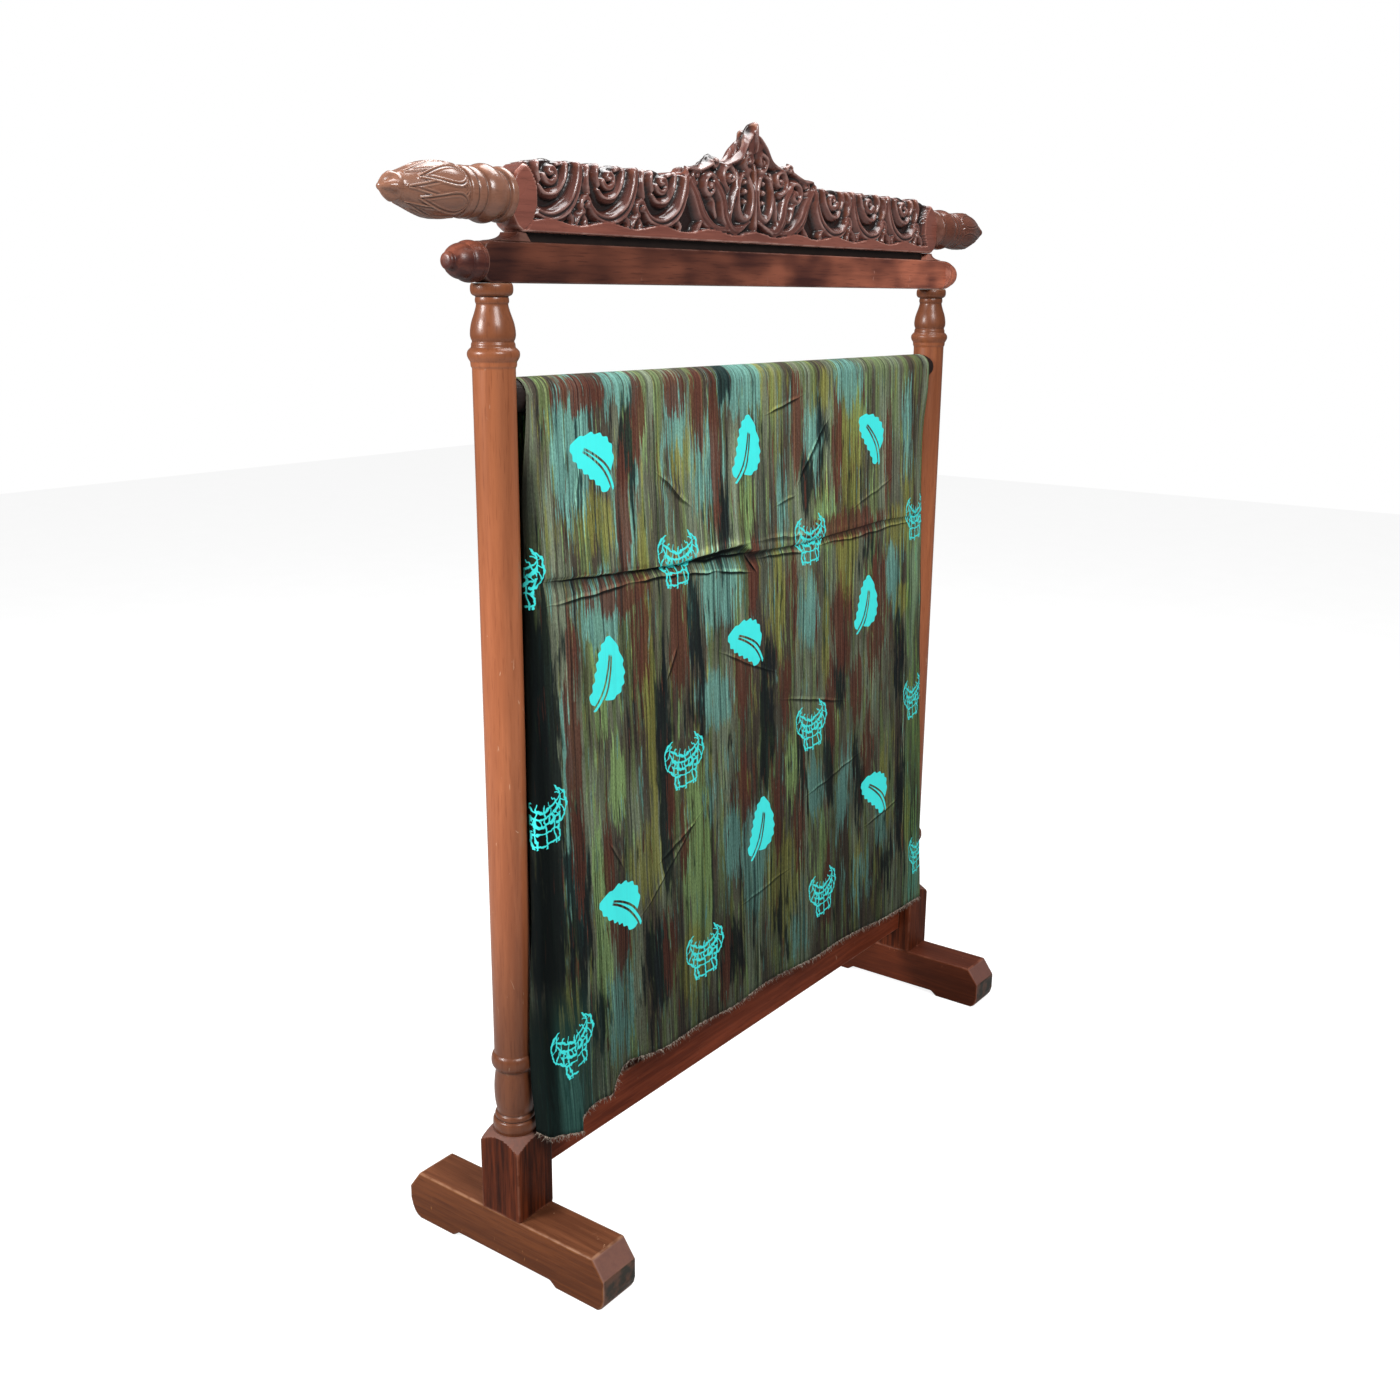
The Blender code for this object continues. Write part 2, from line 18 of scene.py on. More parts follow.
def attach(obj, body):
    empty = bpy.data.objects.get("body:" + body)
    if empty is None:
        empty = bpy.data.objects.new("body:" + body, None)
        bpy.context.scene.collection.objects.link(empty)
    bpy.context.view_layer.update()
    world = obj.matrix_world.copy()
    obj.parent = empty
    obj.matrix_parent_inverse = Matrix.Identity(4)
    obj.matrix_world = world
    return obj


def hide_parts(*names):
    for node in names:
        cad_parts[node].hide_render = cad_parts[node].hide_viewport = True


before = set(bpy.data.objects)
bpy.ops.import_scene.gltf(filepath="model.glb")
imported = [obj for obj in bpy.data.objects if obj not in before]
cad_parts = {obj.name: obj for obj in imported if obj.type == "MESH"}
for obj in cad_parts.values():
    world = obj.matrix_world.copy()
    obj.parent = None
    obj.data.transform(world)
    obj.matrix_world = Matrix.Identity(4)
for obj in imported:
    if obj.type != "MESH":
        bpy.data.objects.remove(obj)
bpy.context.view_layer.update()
SIDES = ((-1, "left"), (1, "right"))
print("pieces in the frame:", sorted(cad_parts))

# %% [markdown]
# ## Camera, floor and light
# The camera stands to the left of the rack, a little above the cloth's top, and looks down.
# Its place and turn come from the straight edges of the rack, so the proportions agree.
# The floor is plain and pale. Three wide, soft lights keep the varnish glossy without hard
# spots, which is how furniture is usually photographed.

# %% Camera
CAMERA_PLACE = (-2.034, -1.401, 1.436)
CAMERA_YAW = -0.9342
CAMERA_PITCH = 0.269
CAMERA_ROLL = 0.0077
CAMERA_LENS_MM = 37.97

camera_data = bpy.data.cameras.new("camera")
camera_data.lens = CAMERA_LENS_MM
camera_data.sensor_width = 36.0
camera = bpy.data.objects.new("camera", camera_data)
turn = (
    Matrix.Rotation(CAMERA_YAW, 4, "Z")
    @ Matrix.Rotation(math.pi / 2 - CAMERA_PITCH, 4, "X")
    @ Matrix.Rotation(CAMERA_ROLL, 4, "Z")
)
camera.matrix_world = Matrix.Translation(CAMERA_PLACE) @ turn
bpy.context.scene.collection.objects.link(camera)
bpy.context.scene.camera = camera
bpy.context.scene.view_settings.view_transform = "Standard"
print("camera at", CAMERA_PLACE)

# %% Soft lights and the surroundings
LIGHTS = {
    "key_light": ((-1.4, -2.7, 3.2), 1.3, 122.0),
    "side_light": ((-3.2, 1.2, 2.4), 1.0, 150.0),
    "top_light": ((0.6, 0.2, 3.6), 1.8, 90.0),
}


def add_soft_light(name, place, size, power):
    """A square area light that faces the middle of the rack."""
    light_data = bpy.data.lights.new(name, "AREA")
    light_data.size = size
    light_data.energy = power
    light = bpy.data.objects.new(name, light_data)
    aim = Vector((0.0, 0.0, 0.9)) - Vector(place)
    light.matrix_world = Matrix.Translation(place) @ aim.to_track_quat("-Z", "Y").to_matrix().to_4x4()
    bpy.context.scene.collection.objects.link(light)


for light_name, (light_place, light_size, light_power) in LIGHTS.items():
    add_soft_light(light_name, light_place, light_size, light_power)

world = bpy.data.worlds.new("pale_room")
world.use_nodes = True
sky = world.node_tree.nodes["Background"]
sky.inputs["Color"].default_value = (1.0, 1.0, 1.0, 1.0)
seen = world.node_tree.nodes.new("ShaderNodeLightPath")
strength = world.node_tree.nodes.new("ShaderNodeMapRange")
strength.inputs["To Min"].default_value = 0.16
strength.inputs["To Max"].default_value = 1.0
world.node_tree.links.new(seen.outputs["Is Camera Ray"], strength.inputs["Value"])
world.node_tree.links.new(strength.outputs["Result"], sky.inputs["Strength"])
bpy.context.scene.world = world
print("lights:", ", ".join(LIGHTS))

# %% [markdown]
# ## Small helpers for node trees
# Materials and shader groups below are long chains of small sums. A short helper adds a node,
# sets its sockets and returns its output as a Value, which can be added and multiplied like a
# number, so each chain reads from top to bottom.

# %% Helpers for nodes


class Value:
    """One output of a node, which adds, multiplies and compares like a number."""

    def __init__(self, chain, socket):
        self.chain = chain
        self.socket = socket

    def __add__(self, other):
        return self.chain.math("ADD", self, other)

    def __sub__(self, other):
        return self.chain.math("SUBTRACT", self, other)

    def __rsub__(self, other):
        return self.chain.math("SUBTRACT", other, self)

    def __mul__(self, other):
        return self.chain.math("MULTIPLY", self, other)

    def __truediv__(self, other):
        return self.chain.math("DIVIDE", self, other)

    def __gt__(self, other):
        return self.chain.math("GREATER_THAN", self, other)

    def __lt__(self, other):
        return self.chain.math("LESS_THAN", self, other)

    def __abs__(self):
        return self.chain.math("ABSOLUTE", self)


class Chain:
    """Adds nodes to one tree. What goes into a socket is a number, a vector or a Value."""

    def __init__(self, tree):
        self.tree = tree

    def put(self, socket, value):
        if isinstance(value, Value):
            self.tree.links.new(value.socket, socket)
        elif socket.type == "RGBA":
            socket.default_value = (*value, 1.0)
        else:
            socket.default_value = value

    def node(self, kind, settings=None, **sockets):
        node = self.tree.nodes.new(kind)
        for key, value in (settings or {}).items():
            setattr(node, key, value)
        for key, value in sockets.items():
            self.put(node.inputs[key.replace("_", " ")], value)
        return node

    def out(self, kind, output=0, settings=None, **sockets):
        return Value(self, self.node(kind, settings, **sockets).outputs[output])

    def listed(self, kind, settings, places, values, output=0):
        """A node whose sockets are filled by their places."""
        node = self.node(kind, settings)
        for place, value in zip(places, values):
            self.put(node.inputs[place], value)
        return Value(self, node.outputs[output])

    def math(self, operation, *values, clamp=False):
        return self.listed("ShaderNodeMath", {"operation": operation, "use_clamp": clamp}, (0, 1), values)

    def most(self, first, *others):
        for other in others:
            first = self.math("MAXIMUM", first, other)
        return first

    def vector(self, operation, *values):
        output = "Value" if operation in ("LENGTH", "DOT_PRODUCT") else "Vector"
        return self.listed("ShaderNodeVectorMath", {"operation": operation}, (0, 1), values, output)

    def scaled(self, vector, scale):
        return self.vector("MULTIPLY", vector, scale)

    def moved(self, vector, scale, strength):
        """A vector pushed about by coloured noise."""
        push = self.out("ShaderNodeTexNoise", "Color", Vector=vector, Scale=scale)
        push = self.scaled(self.vector("SUBTRACT", push, (0.5, 0.5, 0.5)), strength)
        return self.vector("ADD", vector, push)

    def noise(self, vector, scale, detail=2.0, roughness=0.5):
        return self.out(
            "ShaderNodeTexNoise", "Fac", Vector=vector, Scale=scale, Detail=detail, Roughness=roughness,
        )

    def span(self, value, low, high, to_low=0.0, to_high=1.0, smooth=True):
        """Value between low and high, as a share from to_low to to_high."""
        return self.listed(
            "ShaderNodeMapRange", {"interpolation_type": "SMOOTHSTEP" if smooth else "LINEAR"},
            ("Value", "From Min", "From Max", "To Min", "To Max"), (value, low, high, to_low, to_high),
        )

    def mix(self, share, first, second, blend="MIX"):
        return self.listed(
            "ShaderNodeMix", {"data_type": "RGBA", "blend_type": blend},
            (0, 6, 7), (share, first, second), 2,
        )

    def tinted(self, share, colour, tint):
        """The colour, multiplied by a tint as far as a share says."""
        return self.mix(share, colour, tint, "MULTIPLY")

    def shaded(self, colour, shade):
        return self.tinted(1.0, colour, self.joined(shade, shade, shade))

    def parts(self, vector):
        node = self.node("ShaderNodeSeparateXYZ", Vector=vector)
        return [Value(self, socket) for socket in node.outputs]

    def joined(self, x=0.0, y=0.0, z=0.0):
        return self.out("ShaderNodeCombineXYZ", X=x, Y=y, Z=z)

    def place(self):
        return self.out("ShaderNodeTexCoord", "Object")

    def facing(self, axis):
        """How far the surface faces along an axis, from -1 to 1."""
        return self.parts(self.out("ShaderNodeNewGeometry", "Normal"))["XYZ".index(axis)]

    def group(self, tree, **sockets):
        node = self.node("ShaderNodeGroup", {"node_tree": tree}, **sockets)
        return {socket.name: Value(self, socket) for socket in node.outputs}

    def bumped(self, shader, height, strength, distance):
        normal = self.out("ShaderNodeBump", "Normal", Height=height, Strength=strength, Distance=distance)
        self.put(shader.inputs["Normal"], normal)


def new_group(name, inputs, outputs, kind="ShaderNodeTree"):
    """An empty group with named sockets: (name, kind, starting value)."""
    tree = bpy.data.node_groups.new(name, kind)
    for way, sockets in (("INPUT", inputs), ("OUTPUT", outputs)):
        for socket_name, socket_kind, *value in sockets:
            socket = tree.interface.new_socket(
                socket_name, in_out=way, socket_type="NodeSocket" + socket_kind,
            )
            if value:
                socket.default_value = value[0]
    chain = Chain(tree)
    entry = tree.nodes.new("NodeGroupInput").outputs
    leave = tree.nodes.new("NodeGroupOutput").inputs
    return chain, {socket.name: Value(chain, socket) for socket in entry}, leave


def new_material(name, **values):
    """A material with the given values on its shader: returns material, chain and shader."""
    material = bpy.data.materials.new(name)
    material.use_nodes = True
    chain = Chain(material.node_tree)
    shader = material.node_tree.nodes["Principled BSDF"]
    for key, value in values.items():
        chain.put(shader.inputs[key.replace("_", " ")], value)
    return material, chain, shader


print("helpers ready")

# %% [markdown]
# ## Wood grain, shared by every wooden piece
# Grain is the same everywhere: long fibres with darker pores, a slower change between early
# and late wood, and blotches where the stain soaked in. Only its direction and its colours
# differ, so it is one shader group. The vector that goes in is already stretched along the
# piece, and the group puts out a colour, a height for the bump and a share for the gloss.

# %% Shader group for wood grain
grain, entry, leave = new_group(
    "wood_grain",
    [
        ("Fibre", "Vector"), ("Place", "Vector"), ("Pale", "Color"), ("Dark", "Color"),
        ("Figure", "Float"), ("Blotch", "Float"),
    ],
    [("Colour", "Color"), ("Height", "Float"), ("Dullness", "Float")],
)
fibres = grain.noise(entry["Fibre"], 1.0, 4.0, 0.62)
bands = grain.noise(grain.scaled(entry["Fibre"], (0.16, 0.16, 0.16)), 1.0)
pores = grain.span(grain.noise(grain.scaled(entry["Fibre"], (3.4, 3.4, 3.4)), 1.0), 0.56, 0.7)
soaked = grain.span(grain.noise(entry["Place"], 6.0), 0.34, 0.68)
share = grain.span(fibres * 0.55 + bands * 0.45, 0.38, 0.62) * entry["Figure"]
share = grain.math("ADD", share, soaked * entry["Blotch"], clamp=True)
colour = grain.mix(share, entry["Pale"], entry["Dark"])
grain.put(leave["Colour"], grain.mix(pores * 0.45, colour, entry["Dark"]))
grain.put(leave["Height"], fibres - pores * 0.6)
grain.put(leave["Dullness"], soaked * 0.6)
GRAIN = grain.tree
print("group:", GRAIN.name)

# %% [markdown]
# ## Wear, shared by every wooden piece
# Varnish rubs thin along edges and ridges and collects dust and dark wax in hollows, and the
# hollows are also darkened towards near black as painted shade. Cycles can tell both from the
# bend of the mesh, which Geometry's Pointiness gives. Nicks are short pale marks where the
# varnish chipped, so a stretched noise with a high threshold makes them.

# %% Shader group for wear
wear, entry, leave = new_group(
    "wood_wear",
    [
        ("Colour", "Color"), ("Place", "Vector"), ("Rubbed", "Color"),
        ("Edge", "Float"), ("Hollow", "Float"), ("Nicks", "Float"),
    ],
    [("Colour", "Color"), ("Dullness", "Float"), ("Height", "Float")],
)
bend = wear.out("ShaderNodeNewGeometry", "Pointiness")
patchy = wear.span(wear.noise(entry["Place"], 38.0, 3.0), 0.38, 0.62, 0.25, 1.0)
rubbed = wear.span(bend, 0.512, 0.56) * patchy * entry["Edge"]
# Hollows go towards near black: dust and dark wax, together with painted shade.
hollow = wear.span(bend, 0.495, 0.455) * entry["Hollow"]
warp = wear.out("ShaderNodeTexNoise", "Color", Vector=entry["Place"], Scale=14.0)
warped = wear.vector("ADD", entry["Place"], wear.scaled(warp, (0.05, 0.05, 0.02)))
scratch = wear.noise(wear.scaled(warped, (160.0, 160.0, 26.0)), 1.0, 2.0, 0.6)
where = wear.span(wear.noise(entry["Place"], 11.0), 0.5, 0.66)
nicks = wear.span(scratch, 0.685, 0.72) * where * entry["Nicks"]
colour = wear.mix(hollow, entry["Colour"], (0.012, 0.006, 0.006))
wear.put(leave["Colour"], wear.mix(wear.most(rubbed, nicks), colour, entry["Rubbed"]))
wear.put(leave["Dullness"], wear.math("ADD", hollow, nicks, clamp=True))
wear.put(leave["Height"], nicks * -1.0)
WEAR = wear.tree
print("group:", WEAR.name)

# %% [markdown]
# ## The woods
# The rack is one kind of tropical hardwood under several coats of stain: orange-brown on the
# shafts, red-brown on the feet, dark maroon on the rail and purplish brown on the carving.
# Each material stretches its place along the grain of its piece, feeds both groups, and keeps
# its own shader, and some get a touch of their own, part of which is painted shade and painted
# light. Satin varnish is a thin clear coat.

# %% Materials of the woods
WOOD_WORDS = (
    "pale", "dark", "figure", "blotch", "grain",
    "rubbed", "edge", "hollow", "nicks", "gloss", "coat", "shine",
)
WOODS = {
    "shaft_wood": (
        (0.41, 0.135, 0.056), (0.21, 0.058, 0.023), 0.4, 0.25, "Z",
        (0.55, 0.32, 0.2), 0.6, 0.95, 0.8, 0.32, 0.14, 0.28,
    ),
    "block_wood": (
        (0.128, 0.027, 0.009), (0.024, 0.006, 0.003), 0.95, 0.1, "Z",
        (0.26, 0.1, 0.06), 0.55, 0.5, 0.7, 0.52, 0.0, 0.08,
    ),
    "foot_wood": (
        (0.165, 0.058, 0.026), (0.066, 0.02, 0.009), 0.6, 0.16, "Y",
        (0.36, 0.19, 0.11), 0.62, 0.5, 1.0, 0.42, 0.02, 0.14,
    ),
    "stretcher_wood": (
        (0.225, 0.048, 0.02), (0.066, 0.013, 0.006), 0.55, 0.3, "X",
        (0.3, 0.14, 0.09), 0.8, 0.5, 0.7, 0.5, 0.0, 0.06,
    ),
    "rail_wood": (
        (0.26, 0.08, 0.045), (0.04, 0.01, 0.008), 0.3, 0.85, "X",
        (0.34, 0.17, 0.13), 0.65, 0.5, 0.6, 0.34, 0.1, 0.28,
    ),
    # Near black: painted shade for the rod and the filler strip, which lie in shadow.
    "shadow_wood": (
        (0.012, 0.006, 0.005), (0.004, 0.002, 0.002), 0.4, 0.2, "X",
        (0.05, 0.03, 0.02), 0.1, 0.5, 0.0, 0.6, 0.0, 0.28,
    ),
    "carved_wood": (
        (0.168, 0.06, 0.045), (0.062, 0.02, 0.016), 0.3, 0.55, "X",
        (0.4, 0.25, 0.22), 0.6, 1.0, 0.2, 0.22, 0.45, 0.28,
    ),
    "bud_wood": (
        (0.265, 0.125, 0.078), (0.12, 0.046, 0.029), 0.35, 0.45, "X",
        (0.5, 0.32, 0.24), 0.6, 1.0, 0.2, 0.22, 0.45, 0.28,
    ),
}
RAIL_SOAK = (1.1, 1.6, 2.0)


def stretched(axis, along, across):
    """Scales of a pattern that is long in the direction of one axis."""
    return tuple(along if letter == axis else across for letter in "XYZ")


def shaft_touch(chain, place, colour):
    """Each post is darker towards its foot and over its upper part, most at the top: painted shade where
    less light reaches, together with a deeper stain.
    """
    height = chain.parts(place)[2]
    shade = chain.span(height, 0.3, 0.66, 0.36, 1.0) * chain.span(height, 1.34, 1.37, 1.0, 0.62)
    return chain.shaded(colour, shade * chain.span(height, 0.98, 1.24, 1.0, 0.72))


def foot_touch(chain, place, colour):
    """Sawn ends take up more stain and dirt, and the slopes above them are rubbed and pinkish. The faces
    that look sideways are darker as painted shade, and the right foot is darker.
    """
    to_end = abs(chain.facing("Y"))
    end = chain.span(to_end, 0.88, 0.95)
    slope = chain.span(to_end, 0.55, 0.7) * (1.0 - end)
    patchy = chain.span(chain.noise(place, 45.0, 4.0), 0.42, 0.62)
    # Painted shade on the faces that look along X.
    colour = chain.tinted(chain.span(abs(chain.facing("X")), 0.8, 0.96), colour, (0.84, 0.68, 0.42))
    colour = chain.tinted(chain.span(chain.parts(place)[0], -0.1, 0.1), colour, (0.78, 0.56, 0.62))
    colour = chain.mix(slope * 0.55, colour, (0.205, 0.11, 0.095))
    dirty = chain.mix(patchy, (0.022, 0.027, 0.022), (0.1, 0.052, 0.036))
    return chain.mix(end * 0.9, colour, dirty)


def block_touch(chain, place, colour):
    """Faces of each block that look half upwards or more, the slope at its top, are paler."""
    return chain.mix(chain.span(chain.facing("Z"), 0.45, 0.6, 0.0, 0.65), colour, (0.19, 0.1, 0.08))


def carved_touch(chain, place, colour):
    """The cuts grow darker with their depth, down to near black, as painted shade; the plain band is
    brighter, and the ends that face along the beam get a painted highlight.
    """
    cut = chain.out("ShaderNodeAttribute", "Fac", {"attribute_name": "cut"})
    # Painted shade: the deeper a point lies in the cuts, the nearer black it is.
    colour = chain.mix(chain.span(cut, 0.25, 1.0, 0.0, 0.93), colour, (0.006, 0.003, 0.003))
    colour = chain.tinted(chain.span(cut, -0.15, -0.4), colour, (1.62, 1.5, 1.4))
    # Painted highlight on the ends that face along the beam.
    return chain.tinted(chain.span(abs(chain.facing("X")), 0.75, 0.92), colour, (1.35, 1.2, 0.9))


def bud_touch(chain, place, colour):
    """The right bud is darker than the left one."""
    return chain.tinted(chain.span(chain.parts(place)[0], -0.2, 0.2), colour, (0.52, 0.38, 0.38))


def rail_touch(chain, place, colour):
    """The rail gets paler to the right, and its left knob is pale too."""
    along = chain.parts(place)[0]
    right = chain.span(along, -0.62, 0.6, smooth=False)
    return chain.shaded(colour, right * right * 1.6 + chain.span(along, -0.626, -0.63, 0.52, 1.15))


TOUCHES = {
    "shaft_wood": shaft_touch, "foot_wood": foot_touch, "block_wood": block_touch,
    "carved_wood": carved_touch, "bud_wood": bud_touch, "rail_wood": rail_touch,
}


def build_wood(name, look):
    material, chain, shader = new_material(
        name, Coat_Weight=look["coat"], Coat_Roughness=0.14, Specular_IOR_Level=look["shine"],
    )
    place = chain.place()
    soak = RAIL_SOAK if name == "rail_wood" else stretched(look["grain"], 0.45, 1.6)
    wood = chain.group(
        GRAIN, Fibre=chain.scaled(place, stretched(look["grain"], 7.0, 130.0)),
        Place=chain.scaled(place, soak), Pale=look["pale"], Dark=look["dark"],
        Figure=look["figure"], Blotch=look["blotch"],
    )
    worn = chain.group(
        WEAR, Colour=wood["Colour"], Place=place, Rubbed=look["rubbed"], Edge=look["edge"],
        Hollow=look["hollow"], Nicks=look["nicks"],
    )
    colour = worn["Colour"]
    if name in TOUCHES:
        colour = TOUCHES[name](chain, place, colour)
    chain.put(shader.inputs["Base Color"], colour)
    dull = wood["Dullness"] * 0.25 + worn["Dullness"]
    chain.put(shader.inputs["Roughness"], chain.span(dull, 0.0, 1.0, look["gloss"], 0.75, smooth=False))
    chain.bumped(shader, wood["Height"] * 0.35 + worn["Height"], 0.3, 0.0008)
    return material


MATERIALS = {name: build_wood(name, dict(zip(WOOD_WORDS, row))) for name, row in WOODS.items()}
print("woods:", ", ".join(MATERIALS))

# %% [markdown]
# ## Shaping helpers
# Most pieces come from one of three shapes: a grid of points closed into a skin, an outline
# pushed to a thickness, or a profile spun round an axis. The grids are computed with numpy,
# because it handles a hundred thousand points at once.

# %% Helpers for meshes
MERGE_WITHIN = 0.00002


def new_piece(name, points, faces, material, smooth=True, edges=()):
    """A mesh object at the origin, with its place in its mesh."""
    mesh = bpy.data.meshes.new(name)
    mesh.from_pydata([tuple(p) for p in points], edges, [tuple(f) for f in faces])
    if material:
        mesh.materials.append(material)
    mesh.polygons.foreach_set("use_smooth", [smooth] * len(mesh.polygons))
    obj = bpy.data.objects.new(name, mesh)
    bpy.context.scene.collection.objects.link(obj)
    return obj


def reworked(obj, *changes):
    """Changes an object's mesh with one or more functions that take a bmesh."""
    work = bmesh.new()
    work.from_mesh(obj.data)
    for change in changes:
        change(work)
    work.to_mesh(obj.data)
    work.free()


def merged(work):
    bmesh.ops.remove_doubles(work, verts=work.verts, dist=MERGE_WITHIN)


def outward(work):
    bmesh.ops.recalc_face_normals(work, faces=work.faces)


def store(obj, name, values):
    """Keeps a number or a vector at each point, where a material can read it."""
    kind, slot = ("FLOAT", "value") if values.ndim == 1 else ("FLOAT_VECTOR", "vector")
    attribute = obj.data.attributes.new(name, kind, "POINT")
    attribute.data.foreach_set(slot, values.astype(np.float32).ravel())


def settled_piece(obj):
    """Applies an object's modifiers and leaves a plain mesh with its place in it."""
    graph = bpy.context.evaluated_depsgraph_get()
    evaluated = obj.evaluated_get(graph)
    mesh = bpy.data.meshes.new_from_object(evaluated, depsgraph=graph)
    mesh.transform(obj.matrix_world)
    obj.modifiers.clear()
    old = obj.data
    obj.data = mesh
    obj.matrix_world = Matrix.Identity(4)
    bpy.data.meshes.remove(old)
    return obj


def finish_piece(obj, slot, *nodes):
    """Hands a finished piece to the frame: it rides on the body and stands for its nodes."""
    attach(obj, "root")
    if nodes:
        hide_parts(*nodes)
    triangles = sum(len(p.vertices) - 2 for p in obj.data.polygons)
    print(f"{obj.name}: {triangles} triangles")
    return obj


def grid_faces(rows, columns, closed=True):
    """Quads between rows x columns points, whose columns close round where told."""
    across = columns if closed else columns - 1
    row, column = np.meshgrid(np.arange(rows - 1), np.arange(across), indexing="ij")
    after = (column + 1) % columns
    return np.stack([
        row * columns + column, row * columns + after,
        (row + 1) * columns + after, (row + 1) * columns + column,
    ], axis=-1).reshape(-1, 4).tolist()


print("shaping helpers ready")

# %% [markdown]
# ## Outline pieces: feet, stretcher, rail and spacers
# These are sawn from planks: an outline, pushed to the plank's thickness, with its edges
# eased by a plane and by years of knocks. A Bevel modifier with three segments rounds each
# edge, which also gives the varnish a line of light there.

# %% Plank helper
WIDE_FACE = 0.009
RINGS = (0.0022, 0.006)


def ringed(work):
    """Two narrow rings inside every wide face, so that wear stays at its edges."""
    for ring in RINGS:
        wide = [face for face in work.faces if face.calc_area() > WIDE_FACE * face.calc_perimeter()]
        bmesh.ops.inset_individual(work, faces=wide, thickness=ring, use_even_offset=True)


def plank(name, outline, thickness, plane, material, ease, centre=0.0):
    """An outline as a solid plank. plane names its axes: XZ spans the rack, YZ crosses it."""
    points = []
    for across, up in outline:
        for depth in (centre - thickness / 2, centre + thickness / 2):
            points.append((across, depth, up) if plane == "XZ" else (depth, across, up))
    count = len(points)
    faces = [range(0, count, 2), range(1, count, 2)]
    faces += [(i, (i + 2) % count, (i + 3) % count, i + 1) for i in range(0, count, 2)]
    obj = new_piece(name, points, faces, material)
    reworked(obj, outward)
    bevel = obj.modifiers.new("eased_edges", "BEVEL")
    bevel.width = ease
    bevel.segments = 3
    bevel.limit_method = "ANGLE"
    bevel.angle_limit = math.radians(28)
    settled_piece(obj)
    reworked(obj, ringed)
    return obj


print("plank helper ready")

# %% Feet and stretcher
GAP = 0.0003
POST_X = 0.6
FOOT_WIDTH = 0.074
FOOT_HEIGHT = 0.083
FOOT_OUTLINE = [
    (-0.203, 0.052), (-0.203, 0.022), (-0.2006, 0.012), (-0.1962, 0.0046), (-0.19, 0.0),
    (-0.108, 0.0), (-0.096, 0.009),
    (0.096, 0.009), (0.108, 0.0), (0.181, 0.0), (0.1885, 0.003), (0.1945, 0.0085),
    (0.1995, 0.018), (0.203, 0.0308), (0.203, 0.052), (0.1806, FOOT_HEIGHT), (-0.1806, FOOT_HEIGHT),
]
BLOCK_WIDTH = 0.076
BLOCK_DEPTH = 0.078
BLOCK_TOP = 0.2165
STRETCHER_BOTTOM = 0.131
STRETCHER_TOP = 0.205
STRETCHER_THICK = 0.028

for side, label in SIDES:
    foot = plank(
        "foot_" + label + "_planed", FOOT_OUTLINE, FOOT_WIDTH, "YZ",
        MATERIALS["foot_wood"], 0.003, side * POST_X,
    )
    finish_piece(foot, "foot_wood", "foot_" + label)

stretcher_half = POST_X - BLOCK_WIDTH / 2 - GAP
stretcher_outline = [
    (-stretcher_half, STRETCHER_BOTTOM), (stretcher_half, STRETCHER_BOTTOM),
    (stretcher_half, STRETCHER_TOP), (-stretcher_half, STRETCHER_TOP),
]
stretcher = plank(
    "stretcher_planed", stretcher_outline, STRETCHER_THICK, "XZ", MATERIALS["stretcher_wood"], 0.0018,
)
finish_piece(stretcher, "foot_wood", "stretcher")

# %% Head rail and spacers
RAIL_BOTTOM = 1.4465
RAIL_TOP = 1.4986
RAIL_HALF_LENGTH = 0.627
RAIL_THICK = 0.0312
RAIL_CORNER = 0.014
BEAM_BOTTOM = 1.511


def rail_end(side):
    """Round corners of one end of the rail, from its bottom to its top."""
    across = RAIL_HALF_LENGTH - RAIL_CORNER
    turns = [math.radians(90 * step / 8) for step in range(9)]
    points = [(across + RAIL_CORNER * math.sin(turn), RAIL_BOTTOM + RAIL_CORNER * (1 - math.cos(turn)))
              for turn in turns]
    points += [(across + RAIL_CORNER * math.cos(turn), RAIL_TOP - RAIL_CORNER * (1 - math.sin(turn)))
               for turn in turns]
    return [(side * x, z) for x, z in points]


rail = plank(
    "head_rail_planed", rail_end(1) + rail_end(-1)[::-1], RAIL_THICK, "XZ",
    MATERIALS["rail_wood"], 0.0022,
)
finish_piece(rail, "rail_wood", "head_rail")

SPACER_FOOT = RAIL_TOP + GAP
SPACER_HEAD = BEAM_BOTTOM - GAP
for side, label in SIDES:
    cove = []
    for step in range(1, 10):
        angle = math.radians(90 * step / 10)
        cove.append((
            0.566 + 0.038 * (1 - math.cos(angle)),
            SPACER_HEAD - (SPACER_HEAD - SPACER_FOOT) * 0.92 * math.sin(angle),
        ))
    outline = [(0.54, SPACER_FOOT), (0.55, SPACER_HEAD), (0.566, SPACER_HEAD)]
    outline += cove + [(0.604, SPACER_FOOT)]
    outline = [(side * across, up) for across, up in outline]
    spacer = plank(
        "spacer_" + label + "_coved", outline, RAIL_THICK, "XZ", MATERIALS["rail_wood"], 0.0008,
    )
    finish_piece(spacer, "rail_wood", "spacer_" + label)

# %% [markdown]
# ## Turnings: posts, knobs and finials
# A lathe cuts one profile all the way round. The profile is a short list of heights and
# radii, its corners softened by cutting each of them twice, then spun in numpy. The buds on
# the beam's ends are turned first and then carved, so their radius also changes with the
# angle: raised double outlines for the petals, and four lobes at the tip.

# %% Turning helper


def softened(profile):
    """Cuts the corners of a profile twice, keeping its two ends."""
    points = np.array(profile, float)
    for _ in range(2):
        near = points[:-1] * 0.75 + points[1:] * 0.25
        far = points[:-1] * 0.25 + points[1:] * 0.75
        middle = np.empty((2 * len(near), 2))
        middle[0::2] = near
        middle[1::2] = far
        points = np.vstack([points[:1], middle[1:-1], points[-1:]])
    return points


